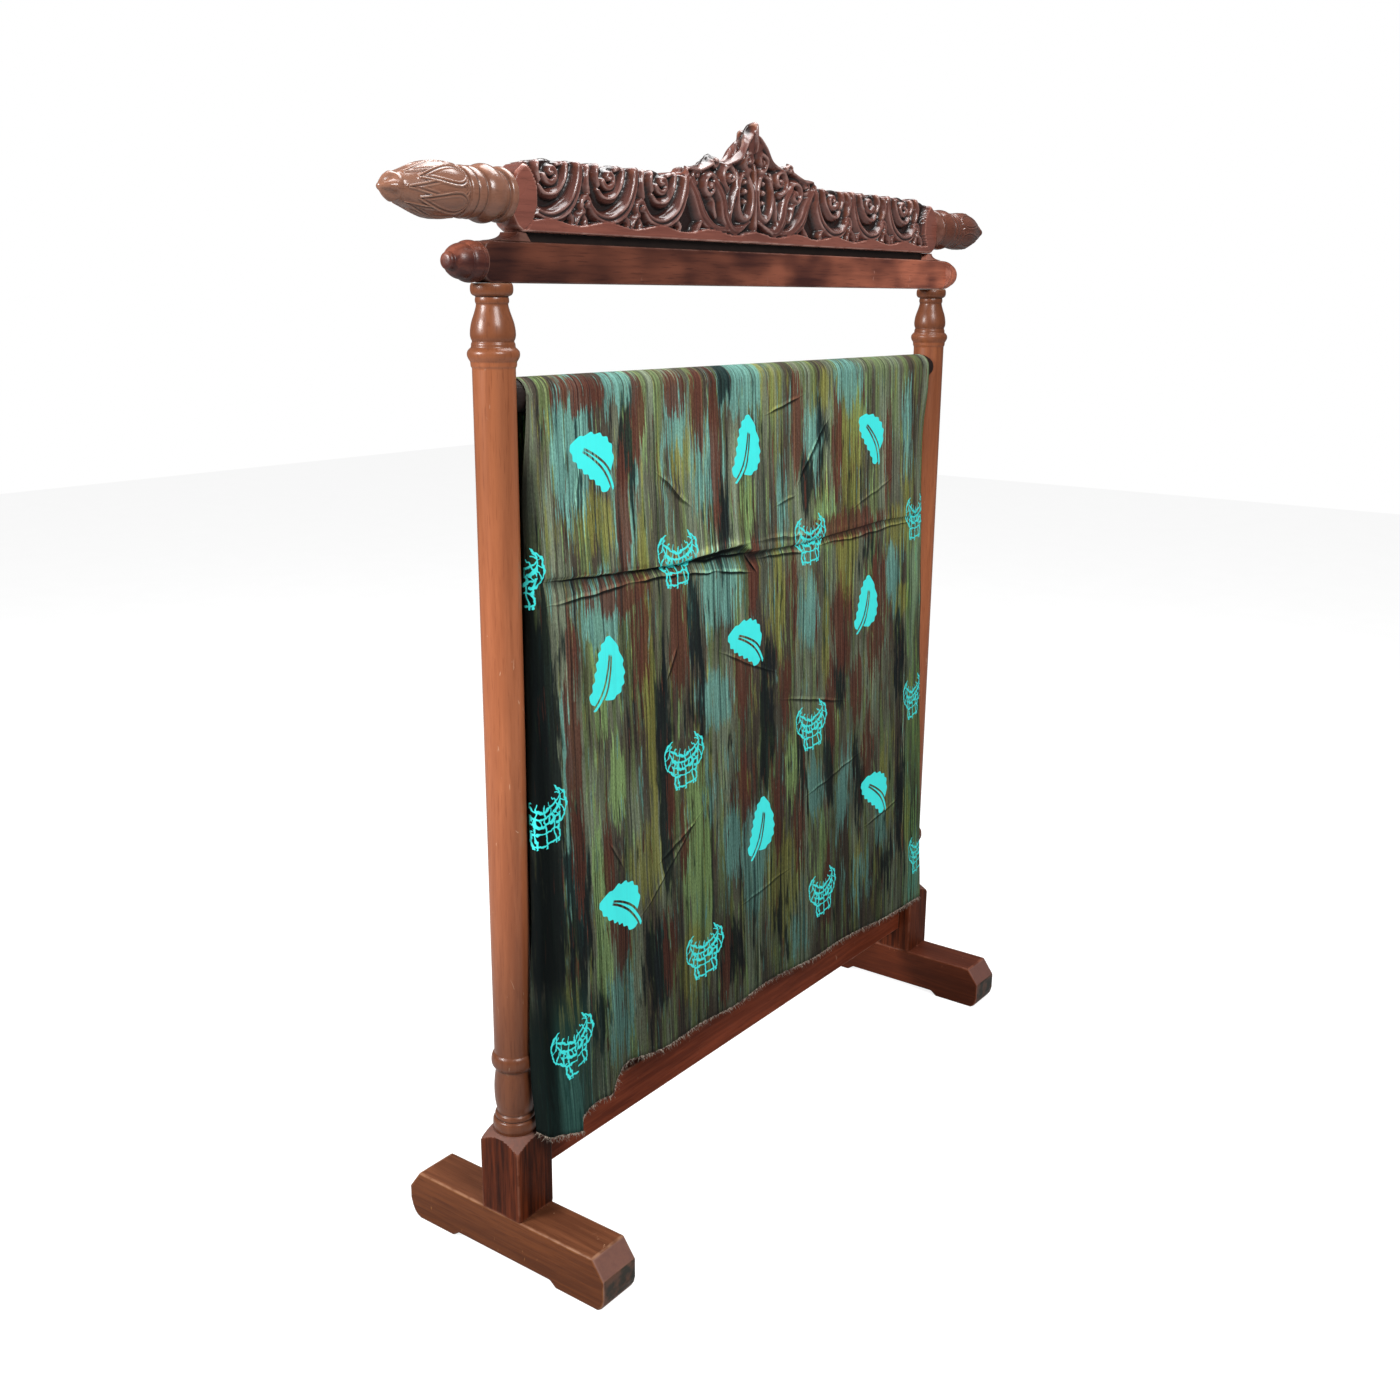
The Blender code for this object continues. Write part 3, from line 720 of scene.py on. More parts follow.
def turned(name, profile, material, carve=None, columns=96):
    """Spins (height, radius) rows round Z. carve(height, angle, radius) may change the radius."""
    height, radius = profile[:, 0], profile[:, 1]
    angle = np.arange(columns) * math.tau / columns
    height_grid, angle_grid = np.meshgrid(height, angle, indexing="ij")
    radius_grid = np.repeat(radius[:, None], columns, axis=1)
    if carve is not None:
        radius_grid = carve(height_grid, angle_grid, radius_grid)
    points = np.stack([
        radius_grid * np.cos(angle_grid), radius_grid * np.sin(angle_grid), height_grid,
    ], axis=-1).reshape(-1, 3)
    faces = grid_faces(len(height), columns)
    last = (len(height) - 1) * columns
    middle = len(points)
    points = np.vstack([points, [(0, 0, height[0]), (0, 0, height[-1])]])
    faces += [((i + 1) % columns, i, middle) for i in range(columns)]
    faces += [(last + i, last + (i + 1) % columns, middle + 1) for i in range(columns)]
    obj = new_piece(name, points, faces, material)
    reworked(obj, merged, outward)
    obj.data.set_sharp_from_angle(angle=math.radians(55))
    return obj


print("turning helper ready")

# %% Posts
POST_TURNING = [
    (1.4462, 0.0262), (1.443, 0.028), (1.435, 0.028), (1.431, 0.0255), (1.4296, 0.021), (1.427, 0.0222),
    (1.4222, 0.0222), (1.42, 0.0205), (1.41, 0.0232), (1.396, 0.0284), (1.3825, 0.0302), (1.3765, 0.0292),
    (1.373, 0.0272), (1.37, 0.029), (1.3655, 0.029), (1.3638, 0.0312), (1.36, 0.0346), (1.354, 0.0348),
    (1.3485, 0.0318), (1.347, 0.0305), (1.3415, 0.0305), (1.339, 0.0287), (1.335, 0.0287), (0.349, 0.0287),
    (0.345, 0.0287), (0.3425, 0.0315), (0.336, 0.0334), (0.327, 0.0334), (0.3215, 0.03), (0.319, 0.0268),
    (0.305, 0.0292), (0.285, 0.0308), (0.262, 0.0296), (0.248, 0.0262), (0.2455, 0.03), (0.24, 0.0306),
    (0.2385, 0.029), (0.237, 0.0322), (0.233, 0.0338), (0.223, 0.0338), (0.218, 0.031), (0.212, 0.031),
]
SHAFT_TOP = 1.335
SHAFT_FOOT = 0.349
SHAFT_RADIUS = 0.0287
BLOCK_REACH = 0.0526


def block(name, side):
    """The square block below the turning. The lathe left a V-shaped stop on each corner."""
    half = BLOCK_WIDTH / 2
    low = FOOT_HEIGHT + GAP
    rows = [(low, 0.0), (low, 0.052), (low + 0.003, BLOCK_REACH), (low + 0.008, BLOCK_REACH)]
    rows += [(height, BLOCK_REACH) for height in (0.115, 0.145, 0.175, 0.19, 0.1975)]
    rows += [(0.199 + 0.00195 * step, BLOCK_REACH - 0.00205 * step) for step in range(1, 10)]
    rows.append((BLOCK_TOP, 0.0))

    def square(height, angle, radius):
        side_reach = half / np.maximum(np.abs(np.cos(angle)), np.abs(np.sin(angle)))
        return np.minimum(radius, side_reach)

    obj = turned(name, np.array(rows), MATERIALS["block_wood"], square, 160)
    obj.data.set_sharp_from_angle(angle=math.radians(24))
    obj.data.transform(Matrix.Diagonal((1.0, BLOCK_DEPTH / BLOCK_WIDTH, 1.0, 1.0)))
    obj.data.transform(Matrix.Translation((side * POST_X, 0.0, 0.0)))
    return obj


def joined(name, *pieces):
    """Several meshes as one object, keeping each one's materials."""
    bpy.ops.object.select_all(action="DESELECT")
    for piece in pieces:
        piece.select_set(True)
    bpy.context.view_layer.objects.active = pieces[0]
    bpy.ops.object.join()
    pieces[0].name = name
    return pieces[0]


post_profile = softened(POST_TURNING)
extra = [(height, SHAFT_RADIUS) for height in np.linspace(SHAFT_TOP, SHAFT_FOOT, 26)[1:-1]]
above = post_profile[post_profile[:, 0] >= SHAFT_TOP - 0.001]
below = post_profile[post_profile[:, 0] <= SHAFT_FOOT + 0.001]
post_profile = np.vstack([above, extra, below])
for side, label in SIDES:
    shaft = turned("shaft_" + label, post_profile, MATERIALS["shaft_wood"])
    shaft.data.transform(Matrix.Translation((side * POST_X, 0.0, 0.0)))
    post = joined("post_" + label + "_turned", shaft, block("block_" + label, side))
    finish_piece(post, "post_wood", "post_" + label)

# %% Knobs on the rail
KNOB_Z = 1.4725
KNOB_TURNING = [
    (0.0545, 0.0), (0.0543, 0.0066), (0.0528, 0.01), (0.05, 0.0114), (0.047, 0.0112), (0.0452, 0.0132),
    (0.0425, 0.0166), (0.038, 0.0197), (0.032, 0.022), (0.0262, 0.0226), (0.0242, 0.022), (0.0226, 0.024),
    (0.019, 0.0257), (0.014, 0.0264), (0.009, 0.0262), (0.0062, 0.0246), (0.004, 0.0254), (0.002, 0.0252),
    (0.0, 0.025),
]


def lay_along(obj, side, end, height):
    """Turns a piece spun round Z so that its top points outwards along the rack."""
    place = Matrix.Translation((side * (end + GAP), 0.0, height))
    obj.data.transform(place @ Matrix.Rotation(side * math.pi / 2, 4, "Y"))


for side, label in SIDES:
    knob = turned("rail_knob_" + label + "_turned", softened(KNOB_TURNING), MATERIALS["rail_wood"])
    lay_along(knob, side, RAIL_HALF_LENGTH, KNOB_Z)
    finish_piece(knob, "rail_wood", "rail_knob_" + label)

# %% Lotus-bud finials
FINIAL_Z = 1.5555
BEAM_HALF_LENGTH = 0.578
FINIAL_TURNING = [
    (0.207, 0.0), (0.2062, 0.003), (0.203, 0.007), (0.195, 0.013), (0.186, 0.0172), (0.1815, 0.0166),
    (0.178, 0.0186), (0.166, 0.0222), (0.15, 0.028), (0.134, 0.0325), (0.119, 0.0345), (0.102, 0.0335),
    (0.087, 0.0305), (0.083, 0.028), (0.0812, 0.0285), (0.0798, 0.0312), (0.074, 0.0322), (0.071, 0.0318),
    (0.0688, 0.0296), (0.0668, 0.0318), (0.06, 0.0324), (0.056, 0.0316), (0.053, 0.0284), (0.051, 0.029),
    (0.049, 0.0325), (0.04, 0.0365), (0.031, 0.0362), (0.019, 0.0318), (0.014, 0.0292), (0.0122, 0.03),
    (0.011, 0.0335), (0.006, 0.0348), (0.002, 0.034), (0.0, 0.0325),
]
PETALS = 6
PETAL_FOOT = 0.086
PETAL_TIP = 0.184
PETAL_EDGE = 0.0017
PETAL_WIDEST = 0.26
PETAL_LINE = 0.0013
INNER_LINE = -0.0046
TIP_LOBE = 0.0022


def even_rows(profile, spacing):
    """Adds rows so that no two are further apart than a spacing."""
    rows = [profile[0]]
    for before, after in zip(profile, profile[1:]):
        count = max(1, int(math.ceil(abs(after[0] - before[0]) / spacing)))
        rows += [before + (after - before) * i / count for i in range(1, count + 1)]
    return np.array(rows)


def carve_bud(along, angle, radius):
    """Raises petals with double outlines over smaller ones behind them, and lobes at the tip."""
    sector = math.tau / PETALS
    climb = (along - PETAL_FOOT) / (PETAL_TIP - PETAL_FOOT)
    relief = np.zeros_like(radius)
    for shift, reach, widest in ((0.5, 0.96, 0.36), (0.0, 0.8, 0.4)):
        local = np.abs((angle / sector + shift + 0.5) % 1.0 - 0.5)
        rise = climb / reach
        near = 1.0 - (1.0 - np.clip(rise / PETAL_WIDEST, 0.0, 1.0)) ** 2
        far = 1.0 - np.clip((rise - PETAL_WIDEST) / (1.0 - PETAL_WIDEST), 0.0, 1.0) ** 1.7
        petal_half = widest * np.sqrt(np.clip(near, 0.0, 1.0)) * far
        inside = (rise > 0.0) & (rise < 1.0)
        gap = (local - petal_half) * radius * sector
        over = (gap < 0.0) & inside
        relief = np.where(over, 0.12, relief)
        for offset, height in ((0.0, 1.0), (INNER_LINE, 0.62)):
            line = np.exp(-((gap - offset) / PETAL_LINE) ** 2) * inside * (petal_half > 0.03)
            relief = np.maximum(relief, height * line)
    radius = radius + PETAL_EDGE * relief
    tip = np.clip((along - 0.184) / 0.006, 0.0, 1.0) * np.clip((0.2068 - along) / 0.008, 0.0, 1.0)
    return radius + TIP_LOBE * tip * np.cos(4 * angle)


bud_profile = even_rows(softened(FINIAL_TURNING), 0.0016)
for side, label in SIDES:
    bud = turned(
        "bud_finial_" + label + "_carved", bud_profile, MATERIALS["bud_wood"], carve_bud, 216,
    )
    lay_along(bud, side, BEAM_HALF_LENGTH, FINIAL_Z)
    finish_piece(bud, "carved_wood", "bud_finial_" + label)

# %% [markdown]
# ## The carved beam
# The beam is a plank whose two faces are cut up to 16.5 mm deep with running scrolls,
# above a plain band, and which rises to a crest with a pointed leaf. A carver draws the
# scrolls as strokes and then rounds each one over, and the code does the same: every stroke
# is a path with a width that swells and tapers, and a rounded section with ribs. The highest
# stroke wins at each point, so strokes seem to pass over each other.

# %% Outline of the beam
BEAM_THICK = 0.044
BEAM_TOP = 1.6005
CREST_X = -0.026
CREST_HALF_WIDTH = 0.178
CREST_SIDE = [
    (0.0, 1.692), (0.003, 1.6905), (0.014, 1.679), (0.038, 1.648), (0.06, 1.6345), (0.08, 1.6285),
    (0.093, 1.6335), (0.106, 1.6385), (0.116, 1.635), (0.125, 1.6265), (0.145, 1.616), (0.16, 1.6165),
    (0.17, 1.617), (0.176, 1.6105), (CREST_HALF_WIDTH, 1.602),
]
BEAM_END = [
    (0.515, 1.603), (0.535, 1.6005), (0.554, 1.5945), (0.566, 1.585), (0.5735, 1.573),
    (BEAM_HALF_LENGTH, 1.564),
]
BEAM_END_FOOT = [
    (0.557, BEAM_BOTTOM), (0.566, 1.5165), (0.5735, 1.527), (BEAM_HALF_LENGTH, 1.538),
]


def beam_top(across):
    """Height of the beam's top edge: crest, scroll humps and rounded ends."""
    from_crest = np.abs(across - CREST_X)
    crest = np.interp(from_crest, [p[0] for p in CREST_SIDE], [p[1] for p in CREST_SIDE])
    humps = BEAM_TOP + 0.005 * np.abs(np.sin((from_crest - CREST_HALF_WIDTH) * math.pi / 0.0455))
    end = np.interp(np.abs(across), [p[0] for p in BEAM_END], [p[1] for p in BEAM_END])
    top = np.where(from_crest < CREST_HALF_WIDTH, crest, humps)
    return np.where(np.abs(across) > BEAM_END[0][0], end, top)


def beam_foot(across):
    foot = np.interp(np.abs(across), [p[0] for p in BEAM_END_FOOT], [p[1] for p in BEAM_END_FOOT])
    return np.where(np.abs(across) < BEAM_END_FOOT[0][0], BEAM_BOTTOM, foot)


BEAM_COLUMNS = 564
BEAM_ROWS = 74
beam_across = np.linspace(-BEAM_HALF_LENGTH, BEAM_HALF_LENGTH, BEAM_COLUMNS)
beam_share = np.linspace(0.0, 1.0, BEAM_ROWS)
beam_x = np.repeat(beam_across[:, None], BEAM_ROWS, axis=1)
beam_low = beam_foot(beam_across)[:, None]
beam_high = beam_top(beam_across)[:, None]
beam_z = beam_low + (beam_high - beam_low) * beam_share[None, :]
print("beam grid:", beam_x.shape)

# %% [markdown]
# Strokes are written in the plane of the beam's face. A wave runs along each arm as the main
# stem, curls fill its bays, small fans spill over the plain band, and the crest adds two
# spiral eyes, oval scrolls and a pointed leaf with radiating ribs.

# %% Strokes of the carving
carving = np.zeros_like(beam_x)


def stroke(points, widths, height, ribs=0):
    """Raises a rounded ridge along a path. widths are its half widths at the start, middle, end."""
    path = np.array(points, float)
    reach = max(widths) * 1.02
    low = path.min(axis=0) - reach
    high = path.max(axis=0) + reach
    near = (beam_x > low[0]) & (beam_x < high[0]) & (beam_z > low[1]) & (beam_z < high[1])
    if not near.any():
        return
    place = np.stack([beam_x[near], beam_z[near]], axis=-1)
    best = np.full(len(place), 9.0)
    side = np.zeros(len(place))
    along = np.zeros(len(place))
    count = len(path) - 1
    for i in range(count):
        start = path[i]
        step = path[i + 1] - start
        length = step @ step
        part = np.clip(((place - start) @ step) / max(length, 1e-12), 0.0, 1.0)
        gap = place - start - part[:, None] * step
        distance = np.hypot(gap[:, 0], gap[:, 1])
        closer = distance < best
        best = np.where(closer, distance, best)
        side = np.where(closer, np.sign(step[0] * gap[:, 1] - step[1] * gap[:, 0]), side)
        along = np.where(closer, (i + part) / count, along)
    width = np.interp(along, [0.0, 0.5, 1.0], widths)
    share = np.clip(best / np.maximum(width, 1e-6), 0.0, 1.0)
    dome = np.sqrt(1.0 - share * share)
    if ribs:
        dome *= 1.0 - 0.3 * (0.5 - 0.5 * np.cos(math.tau * ribs * (0.5 + 0.5 * share * side)))
    carving[near] = np.maximum(carving[near], height * dome)


def curl(middle, radius, start_angle, turns, width, height, ribs):
    """A spiral that winds in to a small ball."""
    count = max(14, int(abs(turns) * 20))
    share = np.linspace(0.0, 1.0, count)
    angle = start_angle + turns * math.tau * share
    reach = radius * (1.0 - 0.78 * share)
    path = np.stack([middle[0] + reach * np.cos(angle), middle[1] + reach * np.sin(angle)], axis=-1)
    stroke(path, (width, width * 0.8, width * 0.5), height, ribs)
    stroke([middle, (middle[0] + 0.0002, middle[1])], (radius * 0.3,) * 3, height * 1.02)


def bend_path(points):
    """A smooth path through a few points, with ten steps between two of them."""
    points = np.array(points, float)
    padded = np.vstack([2 * points[0] - points[1], points, 2 * points[-1] - points[-2]])
    path = []
    for a, b, c, d in zip(padded, padded[1:], padded[2:], padded[3:]):
        for step in range(10):
            t = step / 10
            path.append(0.5 * (2 * b + (c - a) * t + (2 * a - 5 * b + 4 * c - d) * t * t
                               + (3 * b - a - 3 * c + d) * t ** 3))
    path.append(points[-1])
    return path


def sweeps(at, rows):
    """Strokes along smooth paths: their points, half widths, height and ribs."""
    for points, widths, height, ribs in rows:
        stroke(bend_path([at(*point) for point in points]), widths, height, ribs)


print("stroke helpers ready")

# %% Scrolls along the two arms
ARM_FOOT = 1.5255
ARM_HEIGHT = 0.077
ARMS = {1: (0.158, 0.52, 3), -1: (-0.21, -0.52, 2.6)}
# Points, half widths at the start, middle and end, height, ribs
ARM_STROKES = [
    ([(-0.06, 1.04), (-0.02, 0.66), (0.12, 0.3), (0.38, 0.1), (0.64, 0.14), (0.8, 0.36)],
     (0.0075, 0.015, 0.006), 0.98, 3),
    ([(0.16, 1.02), (0.2, 0.74), (0.34, 0.5), (0.52, 0.46), (0.62, 0.6)], (0.005, 0.0095, 0.003), 0.86, 2),
    ([(0.62, 0.66), (0.66, 0.86), (0.6, 1.1)], (0.0045, 0.008, 0.0015), 0.92, 2),
    ([(0.8, 0.52), (0.84, 0.78), (0.78, 1.08)], (0.005, 0.0095, 0.0015), 0.96, 2),
    ([(0.3, 0.94), (0.24, 1.02), (0.3, 1.14)], (0.003, 0.006, 0.0015), 0.8, 1),
    ([(0.9, 0.2), (0.98, 0.1), (1.04, -0.1)], (0.004, 0.008, 0.0015), 0.94, 2),
    ([(0.86, 0.14), (0.84, 0.02), (0.9, -0.14)], (0.003, 0.0062, 0.0012), 0.94, 1),
    ([(0.16, 0.2), (0.08, 0.06), (0.12, -0.1)], (0.003, 0.0066, 0.0012), 0.94, 2),
    ([(0.3, 0.08), (0.26, -0.02), (0.32, -0.12)], (0.0028, 0.005, 0.001), 0.94, 1),
]


def scroll_unit(start, length, side):
    """One bay of the running scroll. Places are shares of its length and of the arm's height."""

    def at(along, up):
        return start + side * along * length, ARM_FOOT + up * ARM_HEIGHT

    sweeps(at, ARM_STROKES)
    curl(at(0.42, 0.8), 0.014, math.pi / 2 - side * 1.9, -side * 1.1, 0.0056, 0.98, 1)
    curl(at(0.82, 0.34), 0.012, -math.pi / 2 + side * 0.6, side * 1.05, 0.0056, 1.02, 1)


for side, (arm_start, arm_end, bays) in ARMS.items():
    bay = abs(arm_end - arm_start) / bays
    for index in range(int(math.ceil(bays))):
        scroll_unit(arm_start + side * index * bay, bay, side)
print("arms carved:", round(float(carving.mean()), 3), "mean relief")

# %% Crest
# The same, with places in metres from the middle of the crest and above the floor
CREST_STROKES = [
    ([(0.07, 1.529), (0.105, 1.53), (0.135, 1.548), (0.152, 1.576), (0.168, 1.596)],
     (0.006, 0.015, 0.009), 0.94, 4),
    ([(0.03, 1.535), (0.058, 1.529), (0.078, 1.548), (0.086, 1.576), (0.104, 1.598)],
     (0.006, 0.0145, 0.0085), 1.0, 4),
    ([(0.046, 1.618), (0.05, 1.59), (0.06, 1.564), (0.064, 1.544)], (0.003, 0.008, 0.003), 0.82, 2),
    ([(0.1, 1.546), (0.108, 1.56), (0.112, 1.572), (0.128, 1.578)], (0.003, 0.009, 0.003), 0.8, 2),
    ([(0.012, 1.544), (0.03, 1.536), (0.044, 1.528), (0.062, 1.518)], (0.003, 0.0075, 0.0015), 0.95, 2),
    ([(0.14, 1.54), (0.15, 1.528), (0.16, 1.517)], (0.003, 0.007, 0.0015), 0.95, 2),
    ([(0.01, 1.67), (0.026, 1.656), (0.04, 1.638), (0.056, 1.63), (0.082, 1.623)],
     (0.004, 0.0095, 0.006), 1.0, 2),
    ([(0.11, 1.623), (0.13, 1.616), (0.15, 1.612), (0.172, 1.613)], (0.005, 0.0075, 0.003), 0.9, 2),
]
# Place, radius, start in half turns, lean to the side, turns, width, height, ribs
CREST_CURLS = [
    (0.118, 1.59, 0.018, 0.5, 0.6, -1.15, 0.008, 0.98, 2),
    (0.07, 1.608, 0.02, -0.5, 0.2, 1.2, 0.0086, 1.06, 2),
    (0.15, 1.604, 0.0105, -0.5, 0.0, 1.0, 0.0046, 0.9, 1),
    (0.102, 1.627, 0.0092, 1.0, 0.0, -1.0, 0.004, 0.95, 1),
    (0.018, 1.634, 0.015, -0.5, -0.2, 1.25, 0.0066, 1.1, 2),
]
# Small balls that stand on each side: height and radius
CREST_BALLS = ((1.602, 0.005), (1.588, 0.006), (1.573, 0.0046))
# Strokes on the middle line: heights at start, middle and end, half widths, height of the relief
CREST_STEMS = [
    ((1.69, 1.66, 1.645), (0.004, 0.0085, 0.002), 1.1),
    ((1.63, 1.59, 1.55), (0.002, 0.0046, 0.006), 1.0),
    ((1.55, 1.536, 1.524), (0.005, 0.008, 0.001), 1.0),
]
RAY_LEANS = (0.1, 0.32, 0.56)


def crest_side(side):
    """One half of the crest; the other is its mirror image."""

    def at(across, up):
        return CREST_X + side * across, up

    sweeps(at, CREST_STROKES)
    for across, up, radius, start, lean, turns, width, height, ribs in CREST_CURLS:
        curl(at(across, up), radius, math.pi * start + side * lean, side * turns, width, height, ribs)
    oval = [
        at(0.027 + 0.02 * math.cos(a), 1.58 + 0.034 * math.sin(a))
        for a in np.linspace(math.radians(100), math.radians(440), 40)
    ]
    stroke(oval, (0.004, 0.0085, 0.004), 1.0, 2)
    for up, size in CREST_BALLS:
        stroke([at(0.0245, up), at(0.025, up)], (size,) * 3, 0.86)
    for lean in RAY_LEANS:
        tip = (0.034 * lean * 1.9, 1.666 + 0.014 * (1.0 - lean * 1.6))
        ray = [(0.003 + lean * 0.012, 1.642), (0.006 + lean * 0.022, 1.655), tip]
        sweeps(at, [(ray, (0.0024, 0.0055, 0.0012), 0.96, 1)])


for side, _ in SIDES:
    crest_side(side)
for heights, widths, relief_height in CREST_STEMS:
    stroke([(CREST_X, up) for up in heights], widths, relief_height, 2)
print("crest carved")

# %% [markdown]
# The relief becomes a closed skin: the front face, the rear face with the same carving, and
# a strip round the edge that joins them. Near the top edge both faces draw in, so the crest
# thins out towards its rim.

# %% Skin of the beam
CUT_DEPTH = 0.0165
BAND_HEIGHT = 0.0125
BAND_WAVE = 0.0065
BAND_WAVE_LENGTH = 0.121
BAND_RELIEF = 0.9
FACET_RELIEF = 0.84
RIM_DRAW_IN = 0.0042
REAR_LOWER = 0.01
RIM_DIP = 0.036
TOP_RIPPLE = 0.0016
EDGE_ROUND = 0.005
TOP_POINTS = 8


def ease(low, high, value):
    share = np.clip((value - low) / (high - low), 0.0, 1.0)
    return share * share * (3.0 - 2.0 * share)


def sanded(grid):
    """Takes the sharpness off a grid of depths in two passes, as sandpaper does."""
    for _ in range(2):
        padded = np.pad(grid, 1, mode="edge")
        beside = padded[:-2, 1:-1] + padded[2:, 1:-1] + padded[1:-1, :-2] + padded[1:-1, 2:]
        grid = 0.5 * grid + 0.125 * beside
    return grid


def crest_share(height):
    """How far a height is up the crest: 0 at its foot, 1 at its top."""
    return np.clip((height - BEAM_TOP - 0.006) / 0.085, 0.0, 1.0)


ground = 0.03 + 0.03 * np.sin(beam_x * 640.0) * np.sin(beam_z * 560.0)
relief = sanded(np.maximum(carving, ground))
band_wave = np.sin((np.abs(beam_x - CREST_X) - 0.18) * math.pi / BAND_WAVE_LENGTH) ** 2
band_top = BEAM_BOTTOM + BAND_HEIGHT + BAND_WAVE * band_wave
band = 1.0 - ease(band_top - 0.0014, band_top, beam_z)
relief = np.maximum(relief, BAND_RELIEF * band)
facet = ((np.abs(beam_x) - 0.575) / 0.046) ** 2 + ((beam_z - 1.556) / 0.048) ** 2
relief = np.where(facet < 1.0, FACET_RELIEF, relief)
relief = np.where((facet >= 1.0) & (facet < 1.14) & (band < 0.5), 0.3, relief)
to_edge = np.minimum(beam_high - beam_z, (BEAM_HALF_LENGTH - np.abs(beam_x)) * 1.2)
to_foot = beam_z - beam_low
rim = np.clip(1.0 - np.minimum(to_edge, to_foot * 2.5) / EDGE_ROUND, 0.0, 1.0)
inset = CUT_DEPTH * (1.0 - relief) + RIM_DRAW_IN * rim * rim
half = BEAM_THICK / 2 - inset

front_grid = np.stack([beam_x, -half, beam_z], axis=-1)
rear_low = REAR_LOWER * crest_share(beam_z)
rear_grid = np.stack([beam_x, half, beam_z - rear_low], axis=-1)[:, ::-1]
top_front, top_rear = front_grid[:, -1], rear_grid[:, 0]
shares = (np.arange(1, TOP_POINTS + 1) / (TOP_POINTS + 1))[None, :, None]
top_strip = top_front[:, None, :] * (1 - shares) + top_rear[:, None, :] * shares
rise = crest_share(beam_high[:, 0])[:, None]
top_strip[..., 2] -= RIM_DIP * rise ** 0.7 * np.sin(math.pi * shares[..., 0]) ** 0.6
ripple = np.sin(beam_across * 330.0)[:, None] ** 2
top_strip[..., 2] -= TOP_RIPPLE * np.sin(math.pi * shares[..., 0]) * ripple
sections = np.concatenate([front_grid, top_strip, rear_grid], axis=1)
section_count = sections.shape[1]
skin_faces = grid_faces(BEAM_COLUMNS, section_count)
skin_faces.append(list(range(section_count))[::-1])
last_section = (BEAM_COLUMNS - 1) * section_count
skin_faces.append([last_section + i for i in range(section_count)])
beam = new_piece("carved_beam_relief", sections.reshape(-1, 3), skin_faces, MATERIALS["carved_wood"])
# How deep each point lies in the cuts, which the material turns into painted shade; plain parts get -0.5 and
# are made brighter.
cut_depth = np.zeros(sections.shape[:2])
plain = (band > 0.5) | (facet < 1.0)
cut_depth[:, :BEAM_ROWS] = np.where(plain, -0.5, 1.0 - relief)
cut_depth[:, -BEAM_ROWS:] = cut_depth[:, BEAM_ROWS - 1::-1]
cut_depth[:, BEAM_ROWS:-BEAM_ROWS] = 0.2
store(beam, "cut", cut_depth.ravel())
reworked(beam, outward)
finish_piece(beam, "carved_wood", "carved_beam")

# %% [markdown]
# ## How the cloth hangs
# The cloth is one length of cotton, 1.15 m wide and about 2.2 m long. It goes from the front
# hem up to the rod, round it, and down behind. Simulated cloth would lose the one sharp
# storage crease that gives this piece its look, so its drape is written out as rules: a drop that
# leans a little forward, soft folds at the hem, a turned-back left margin, a tail in front of
# the post, and the crease as a lip with a hollow under it. The same rules shape the solid.

# %% Measures of the drape
ROD_RADIUS = 0.0225
ROD_Z = 1.3015
CLOTH_RADIUS = ROD_RADIUS + 0.0006 + 0.001
FLAT_WIDTH = 1.15
ROD_END_LEFT = -0.5655
ROD_END_RIGHT = 0.56
FRONT_LEAN = 0.0405
REAR_HEM = 0.236
MARGIN_FLAT = 0.022
MARGIN_SHARE = MARGIN_FLAT / FLAT_WIDTH
MARGIN_AT_ROD = 0.45
MARGIN_AT_HEM = 0.7
MARGIN_RADIUS = 0.009
TAIL_FOLD_X = -0.53
TAIL_FOLD_WIDTH = 0.005
TAIL_LIFT = 0.01
TAIL_REACH = 0.24
STRIP_CREASE_X = 0.476
STRIP_SLOPE = 0.16
SETTLED_BELOW_ROD = 0.16
LIP_RISE = 0.35
LIP_FADE = 0.045
HOLLOW_DEPTH = 0.65
HOLLOW_PLACE = 0.3
FRONT_HEM = np.array([
    (-0.61, 0.229), (-0.591, 0.2243), (-0.533, 0.2046), (-0.527, 0.2184), (-0.47, 0.23), (-0.459, 0.229),
    (-0.448, 0.251), (-0.421, 0.2578), (-0.398, 0.2608), (-0.258, 0.2477), (-0.044, 0.2484),
    (0.199, 0.2405), (0.484, 0.2254), (0.579, 0.2095),
])
CREASE = np.array([
    (-0.61, 1.056, 1.028, 0.002), (-0.533, 1.055, 1.027, 0.005), (-0.46, 1.047, 1.023, 0.008),
    (-0.35, 1.04, 1.0225, 0.01), (-0.25, 1.035, 1.019, 0.012), (-0.17, 1.04, 1.012, 0.013),
    (-0.08, 1.045, 0.997, 0.014), (-0.045, 1.028, 0.992, 0.012), (0.02, 1.024, 1.006, 0.007),
    (0.1, 1.0215, 1.008, 0.006), (0.25, 1.026, 1.012, 0.005), (0.37, 1.03, 1.016, 0.004),
    (0.47, 1.027, 1.014, 0.002), (0.6, 1.025, 1.013, 0.001),
])
FRONT_EDGES = np.array([
    (0.2, -0.592, 0.579), (0.29, -0.596, 0.575), (0.44, -0.59, 0.569), (0.74, -0.578, 0.56),
    (1.03, -0.564, 0.5585), (1.16, -0.5605, 0.559), (ROD_Z, -0.556, 0.56),
])
